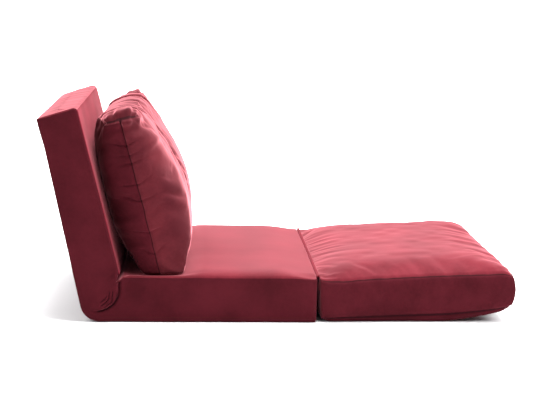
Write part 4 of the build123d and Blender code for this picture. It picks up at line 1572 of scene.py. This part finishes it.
    def folds(self, params: Array, points: Array) -> Array:
        """Height of the soft folds over the pillow.

        On the ends, noise that is long across and narrow up the pillow makes level folds that
        fade from the seam; at the boxed top it makes gathers across the thickness; beside the
        channel it makes short folds, and elsewhere it is broad and low.

        Args:
            params: shares through, across and up.
            points: the sewn shape.
        Returns:
            The move along the normal at each vertex.
        """
        a, b, c = params.T
        x, y, z = points.T
        end = ease(np.abs(b), *self.end_edge)
        waver = self.end_waver * ripple(x / self.waver_cell, z / self.waver_cell, 41)
        tilt = z + self.end_rise * np.abs(x - self.foot[0]) + waver
        seam_side = at_least(np.exp(-np.abs(a) / self.seam_fade), self.far_share)
        total = self.end_height * self.end_folds.at(tilt, x) * end * seam_side
        drop = (1.0 - c) / 2.0 * self.tall
        corner = at_least(ease(np.abs(b), *self.gather_edge), self.gather_least)
        gather = self.gather_height * self.gathers.at(y, drop)
        total += gather * corner * np.exp(-drop / self.gather_reach) * (1.0 - end)
        end_gather = self.end_gather_height * self.end_gathers.at(x, drop)
        total += end_gather * np.exp(-drop / self.end_gather_reach) * end
        near = np.exp(-(np.abs(y) / self.channel_reach)) * (1.0 - np.exp(-np.abs(y) / self.channel_seam))
        sewn = ripple(z / self.channel_cell[0], y / self.channel_cell[1], 48) * near
        total += self.channel_height * (sewn * np.where(a > self.front_from, 1.0, self.rear_share))
        total += self.broad_height * ripple(y / self.broad_cell[0], z / self.broad_cell[1], 49)
        return total

    def build(self) -> bpy.types.Object:
        """Sews the case, fills it, and presses it against the seat and back.

        Returns:
            The finished pillow.
        """
        params, quads = box_shell(self.cells)
        points = self.place(params)
        piece = make_piece("back_pillow", points, quads)
        faces = params[quads].mean(axis=1)
        # The rear shell gets the shaded velvet copy, painted shade where the pillow leans into the back; the rest
        # gets the pillow's lit copy.
        rear_shell = (faces[:, 0] < 0.0) & (faces[:, 2] < self.rear_shade_top)
        lay_painted_tones(piece, self.velvet, np.where(rear_shell, tone_number(PaintedTone.END_ON), tone_number(PaintedTone.LOOSE)))
        held = self.sewn(params)
        bottom = params[:, 2] < -RIM
        folds = self.folds(params, points)
        free = np.where(bottom, 0.0, 1.0) * (1.0 - held)
        write_points(piece.data, points + read_normals(piece.data) * (free * folds)[:, None])
        self.filling.swell(piece, np.where(bottom, 1.0, held))
        late = np.where(bottom, 0.0, self.late_folds) * folds
        write_points(piece.data, read_points(piece.data) + read_normals(piece.data) * late[:, None])
        self.press(piece)
        mark_seams_and_creases(piece, self.from_seam(params, points))
        smooth_levels(piece, 1)
        finish_mesh(piece)
        sink_seams(piece, self.seam_sink)
        self.wrinkle(piece)
        return piece

    def wrinkle(self, piece: bpy.types.Object) -> None:
        """Presses fine creases into the filled pillow.

        On the ends the creases lie level and rise away from the seam, and on the front and the
        top they run down from the top edge and out of the middle channel. Noise bends them and
        leaves some patches smoother.

        Args:
            piece: the finished pillow.
        """
        points, normals = read_points(piece.data), read_normals(piece.data)
        x, y, z = points.T
        lean = math.radians(self.lean_degrees)
        far, high = x - self.foot[0], z - self.foot[1]
        through = far * math.cos(lean) + high * math.sin(lean)
        level = high * math.cos(lean) - far * math.sin(lean)
        end = ease(np.abs(normals[:, 1]), *self.end_facing)
        rise = level - self.end_crease_rise * np.abs(through)
        along = through / self.end_crease_run + self.end_shift * np.sign(y)
        depth = self.end_creases.valley(rise, along, (through, level))
        depth = depth * bell(through, self.end_crease_reach) * end
        drop = np.maximum(self.tall - level, 0.0)
        fan = y + self.top_crease_fan * drop * np.sign(y)
        from_top = self.top_creases.valley(fan, drop / self.top_crease_run, (y, drop))
        depth += from_top * np.exp(-drop / self.top_crease_reach) * (1.0 - end)
        slant = level + self.channel_crease_slant * np.abs(y)
        from_channel = self.channel_creases.valley(slant, y / self.channel_crease_run, (y, level))
        beside = np.exp(-np.abs(y) / self.channel_crease_reach) * ease(normals[:, 0], *self.front_facing)
        depth += from_channel * beside * (1.0 - end)
        depth *= ease(level, *self.foot_smooth)
        write_points(piece.data, points - normals * depth[:, None])

    def sewn(self, params: Array) -> Array:
        """Weight of each vertex on a seam: end seams, boxed corners and the middle channel.

        Args:
            params: shares through, across and up.
        Returns:
            1 on a seam and 0 elsewhere.
        """
        a, b, c = params.T
        # The middle row of vertices lies within half a cell of zero.
        end_seam = (np.abs(b) > RIM) & (np.abs(a) < 1.0 / self.cells[0])
        box_seam = (np.abs(b) > RIM) & (np.abs(c) > RIM)
        channel = (np.abs(b) < 1.0 / self.cells[1]) & ((a > RIM) | (c > RIM))
        return np.where(end_seam | box_seam | channel, 1.0, 0.0)

    def from_seam(self, params: Array, points: Array) -> Array:
        """Distance of each vertex from the nearest seam, in metres.

        Args:
            params: shares through, across and up.
            points: the sewn shape.
        Returns:
            The smaller of the distances to the end seam, the boxed corners and the channel.
        """
        a, b, c = params.T
        through = np.abs(np.sin(a * math.pi / 2.0)) * self.front_belly
        drop = (1.0 - np.abs(c)) / 2.0 * self.tall
        away = np.where(np.abs(b) > RIM, np.minimum(through, drop), FAR)
        from_end = (1.0 - np.abs(b)) * self.half_width
        away = np.where(np.abs(c) > RIM, np.minimum(away, from_end), away)
        channelled = (a > RIM) | (c > RIM)
        return np.where(channelled, np.minimum(away, np.abs(points[:, 1])), away)

    def press(self, piece: bpy.types.Object) -> None:
        """Keeps the pillow off the back's front face and the seat.

        Args:
            piece: the filled pillow.
        """
        points = read_points(piece.data)
        lean = math.radians(BACK_LEAN)
        out = np.array([math.cos(lean), math.sin(lean)])
        face = self.crease[0] * out[0] + self.crease[1] * out[1]
        gap = points[:, 0] * out[0] + points[:, 2] * out[1] - face - self.face_gap
        points[:, 0] += np.where(gap < 0.0, -gap * out[0], 0.0)
        points[:, 2] += np.where(gap < 0.0, -gap * out[1], 0.0)
        points[:, 2] = np.maximum(points[:, 2], self.foot[1] - self.foot_sink)
        write_points(piece.data, points)

    def dress(self, piece: bpy.types.Object) -> None:
        """Puts the pillow on its own body in place of its plain cover.

        Args:
            piece: the finished pillow.
        """
        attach(piece, Body.PILLOW.value)
        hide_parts("pillow_cover", "pillow_filling")


@dataclass
class CarriedParts:
    """The rigid and hidden parts that come from the CAD model as they are."""

    velvet: dict[PaintedTone, bpy.types.Material]

    def dress(self) -> None:
        """Gives each carried-over node the finish of its material, with the shaded velvet copy on velvet nodes and
        the dimmed copy, a painted dark line along the hinge, on the fold tapes.
        """
        finishes = {
            Slot.FOAM: CellFoam("Foam_slab_cut"),
            Slot.FIBRE: LoftedFibre("Polyester_fibre_lofted"),
            Slot.FRAME_STEEL: CoatedSteel("Steel_tube_powder_coated"),
            Slot.HINGE_STEEL: PlatedSteel("Steel_zinc_plated"),
            Slot.WEBBING: WovenTape("Elastic_webbing_woven"),
            Slot.BASE_CLOTH: BondedCloth("Polypropylene_spunbond"),
            Slot.ZIP: WovenTape("Zip_tape_woven_claret", dark="#3f0c16", pale="#6d1c2b", rib_mm=3.0),
            Slot.SLIDER: CoatedSteel("Zip_slider_enamelled_claret", dark="#571222", pale="#6a1a2c"),
        }
        materials = {slot: finish.material() for slot, finish in finishes.items()}
        # Velvet nodes get the shaded copy: painted shade.
        materials[Slot.VELVET] = self.velvet[PaintedTone.END_ON]
        slots = {row["node"]: Slot(row["material_slot"]) for row in frame["record"]["subparts"]}
        for name, node in sorted(frame["nodes"].items()):
            node.data.materials.clear()
            # The fold tapes get the dimmed velvet copy: a painted dark line along the hinge.
            hinge = name.startswith("fold_tape")
            node.data.materials.append(self.velvet[PaintedTone.DOWN] if hinge else materials[slots[name]])
            log.info("dressed %s as %s", name, slots[name].value)


@dataclass(frozen=True)
class SoftBox:
    """One rectangular soft light: its place, the point it faces, its width and height, and its power."""

    name: str
    at: tuple[float, float, float]
    aim: tuple[float, float, float]
    size: Span
    watts: float
    colour: str = "#ffffff"

    def hang(self) -> None:
        """Adds the light to the scene."""
        data = bpy.data.lights.new(self.name, "AREA")
        data.shape = "RECTANGLE"
        data.size, data.size_y = self.size
        data.energy = self.watts
        data.color = linear(self.colour)[:3]
        lamp = bpy.data.objects.new(self.name, data)
        lamp.location = self.at
        lamp.rotation_euler = (Vector(self.aim) - Vector(self.at)).to_track_quat("-Z", "Y").to_euler()
        bpy.context.scene.collection.objects.link(lamp)


@dataclass
class Studio:
    """Pale sweep, soft lights and the camera at the photograph's place."""

    eye: tuple[float, float, float] = (-0.0392, -4.1709, 1.0318)
    yaw_degrees: float = 3.885
    pitch_degrees: float = 10.088
    roll_degrees: float = -1.194
    focal_pixels: float = 1289.5
    frame_pixels: float = 550.0
    sensor: float = 36.0
    clip_end: float = 200.0
    floor_near: float = -9.0
    floor_far: float = 5.0
    bend_radius: float = 3.0
    wall_top: float = 9.0
    sweep_half: float = 14.0
    paper: str = "#fbfcfd"
    sky: str = "#ffffff"
    sky_strength: float = 0.18
    boxes: tuple[SoftBox, ...] = (
        SoftBox("Overhead_box", (1.0, 0.5, 5.0), (0.2, 0.0, 0.1), (4.2, 3.4), 1050.0),
        SoftBox("Foot_key", (3.4, -1.2, 2.6), (-0.1, 0.0, 0.3), (2.4, 2.0), 150.0),
        SoftBox("Front_fill", (-2.4, -2.4, 2.6), (-0.4, -0.2, 0.5), (2.0, 1.6), 60.0),
        SoftBox("Rear_strip", (-1.6, 2.8, 2.4), (-0.2, 0.0, 0.4), (2.4, 1.4), 60.0),
        SoftBox("Wall_wash", (0.0, 4.2, 5.0), (0.0, 8.0, 2.2), (9.0, 2.0), 900.0),
    )

    def camera(self) -> None:
        """Sets the camera from the fitted eye point, aim and focal length."""
        angles = (self.yaw_degrees, self.pitch_degrees, self.roll_degrees)
        yaw, pitch, roll = (math.radians(angle) for angle in angles)
        ahead = Vector((math.sin(yaw) * math.cos(pitch), math.cos(yaw) * math.cos(pitch), -math.sin(pitch)))
        right = ahead.cross(Vector((0.0, 0.0, 1.0))).normalized()
        up = right.cross(ahead)
        tilted = right * math.cos(roll) - up * math.sin(roll)
        top = right * math.sin(roll) + up * math.cos(roll)
        data = bpy.data.cameras.new("Photo_camera")
        data.sensor_width = self.sensor
        data.lens = self.focal_pixels / self.frame_pixels * self.sensor
        data.clip_end = self.clip_end
        camera = bpy.data.objects.new("Photo_camera", data)
        turn = Matrix((tilted, top, -ahead)).transposed().to_4x4()
        camera.matrix_world = Matrix.Translation(Vector(self.eye)) @ turn
        bpy.context.scene.collection.objects.link(camera)
        bpy.context.scene.camera = camera

    def sweep(self) -> None:
        """Builds the pale floor, which curves up behind into a wall over a quarter circle."""
        turn = np.linspace(0.0, math.pi / 2.0, 24)
        radius, far = self.bend_radius, self.floor_far
        bend = np.stack([far + radius * np.sin(turn), radius - radius * np.cos(turn)], axis=1)
        line = np.concatenate([[[self.floor_near, 0.0]], bend, [[far + radius, self.wall_top]]])
        wide = np.linspace(-self.sweep_half, self.sweep_half, 9)
        shape = (len(line), len(wide))
        columns = (wide[None, :], line[:, :1], line[:, 1:])
        points = np.stack([np.broadcast_to(column, shape) for column in columns], axis=2)
        number = np.arange(len(line) * len(wide)).reshape(shape)
        quads = np.stack([number[:-1, :-1], number[:-1, 1:], number[1:, 1:], number[1:, :-1]], axis=-1)
        mesh = bpy.data.meshes.new("Studio_sweep")
        mesh.from_pydata(points.reshape(-1, 3).tolist(), [], quads.reshape(-1, 4).tolist())
        mesh.polygons.foreach_set("use_smooth", np.ones(len(mesh.polygons), dtype=bool))
        floor = bpy.data.objects.new("Studio_sweep", mesh)
        bpy.context.scene.collection.objects.link(floor)
        paper = bpy.data.materials.new("Paper_matt_white")
        paper.use_nodes = True
        surface = paper.node_tree.nodes["Principled BSDF"]
        surface.inputs["Base Color"].default_value = linear(self.paper)
        surface.inputs["Roughness"].default_value = 1.0
        surface.inputs["Specular IOR Level"].default_value = 0.0
        mesh.materials.append(paper)

    def lights(self) -> None:
        """Hangs an overhead box, a key, a fill, a rear strip and a wall wash under a white sky."""
        world = bpy.data.worlds.new("Studio_sky")
        bpy.context.scene.world = world
        world.use_nodes = True
        sky = world.node_tree.nodes["Background"]
        sky.inputs["Color"].default_value = linear(self.sky)
        sky.inputs["Strength"].default_value = self.sky_strength
        for box in self.boxes:
            box.hang()
        bpy.context.scene.view_settings.view_transform = "Standard"


def main() -> None:
    """Builds every piece in order."""
    logging.basicConfig(level=logging.INFO, format="%(message)s")
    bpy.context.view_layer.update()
    studio = Studio()
    studio.camera()
    velvet = PileVelvet.lit_and_shaded_copies()
    CarriedParts(velvet).dress()
    hinge = next(row for row in frame["joints"] if row["name"] == "back_recline")
    cover = LoungeCover(velvet, pivot=(hinge["pos_m"][0], hinge["pos_m"][2]))
    pad = FootPad(velvet)
    pillow = BackPillow(velvet)
    for part in (cover, pad, pillow):
        piece = part.build()
        part.dress(piece)
        log.info("built %s with %d faces", piece.name, len(piece.data.polygons))
    studio.sweep()
    studio.lights()
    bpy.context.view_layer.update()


if __name__ == "__main__":
    main()
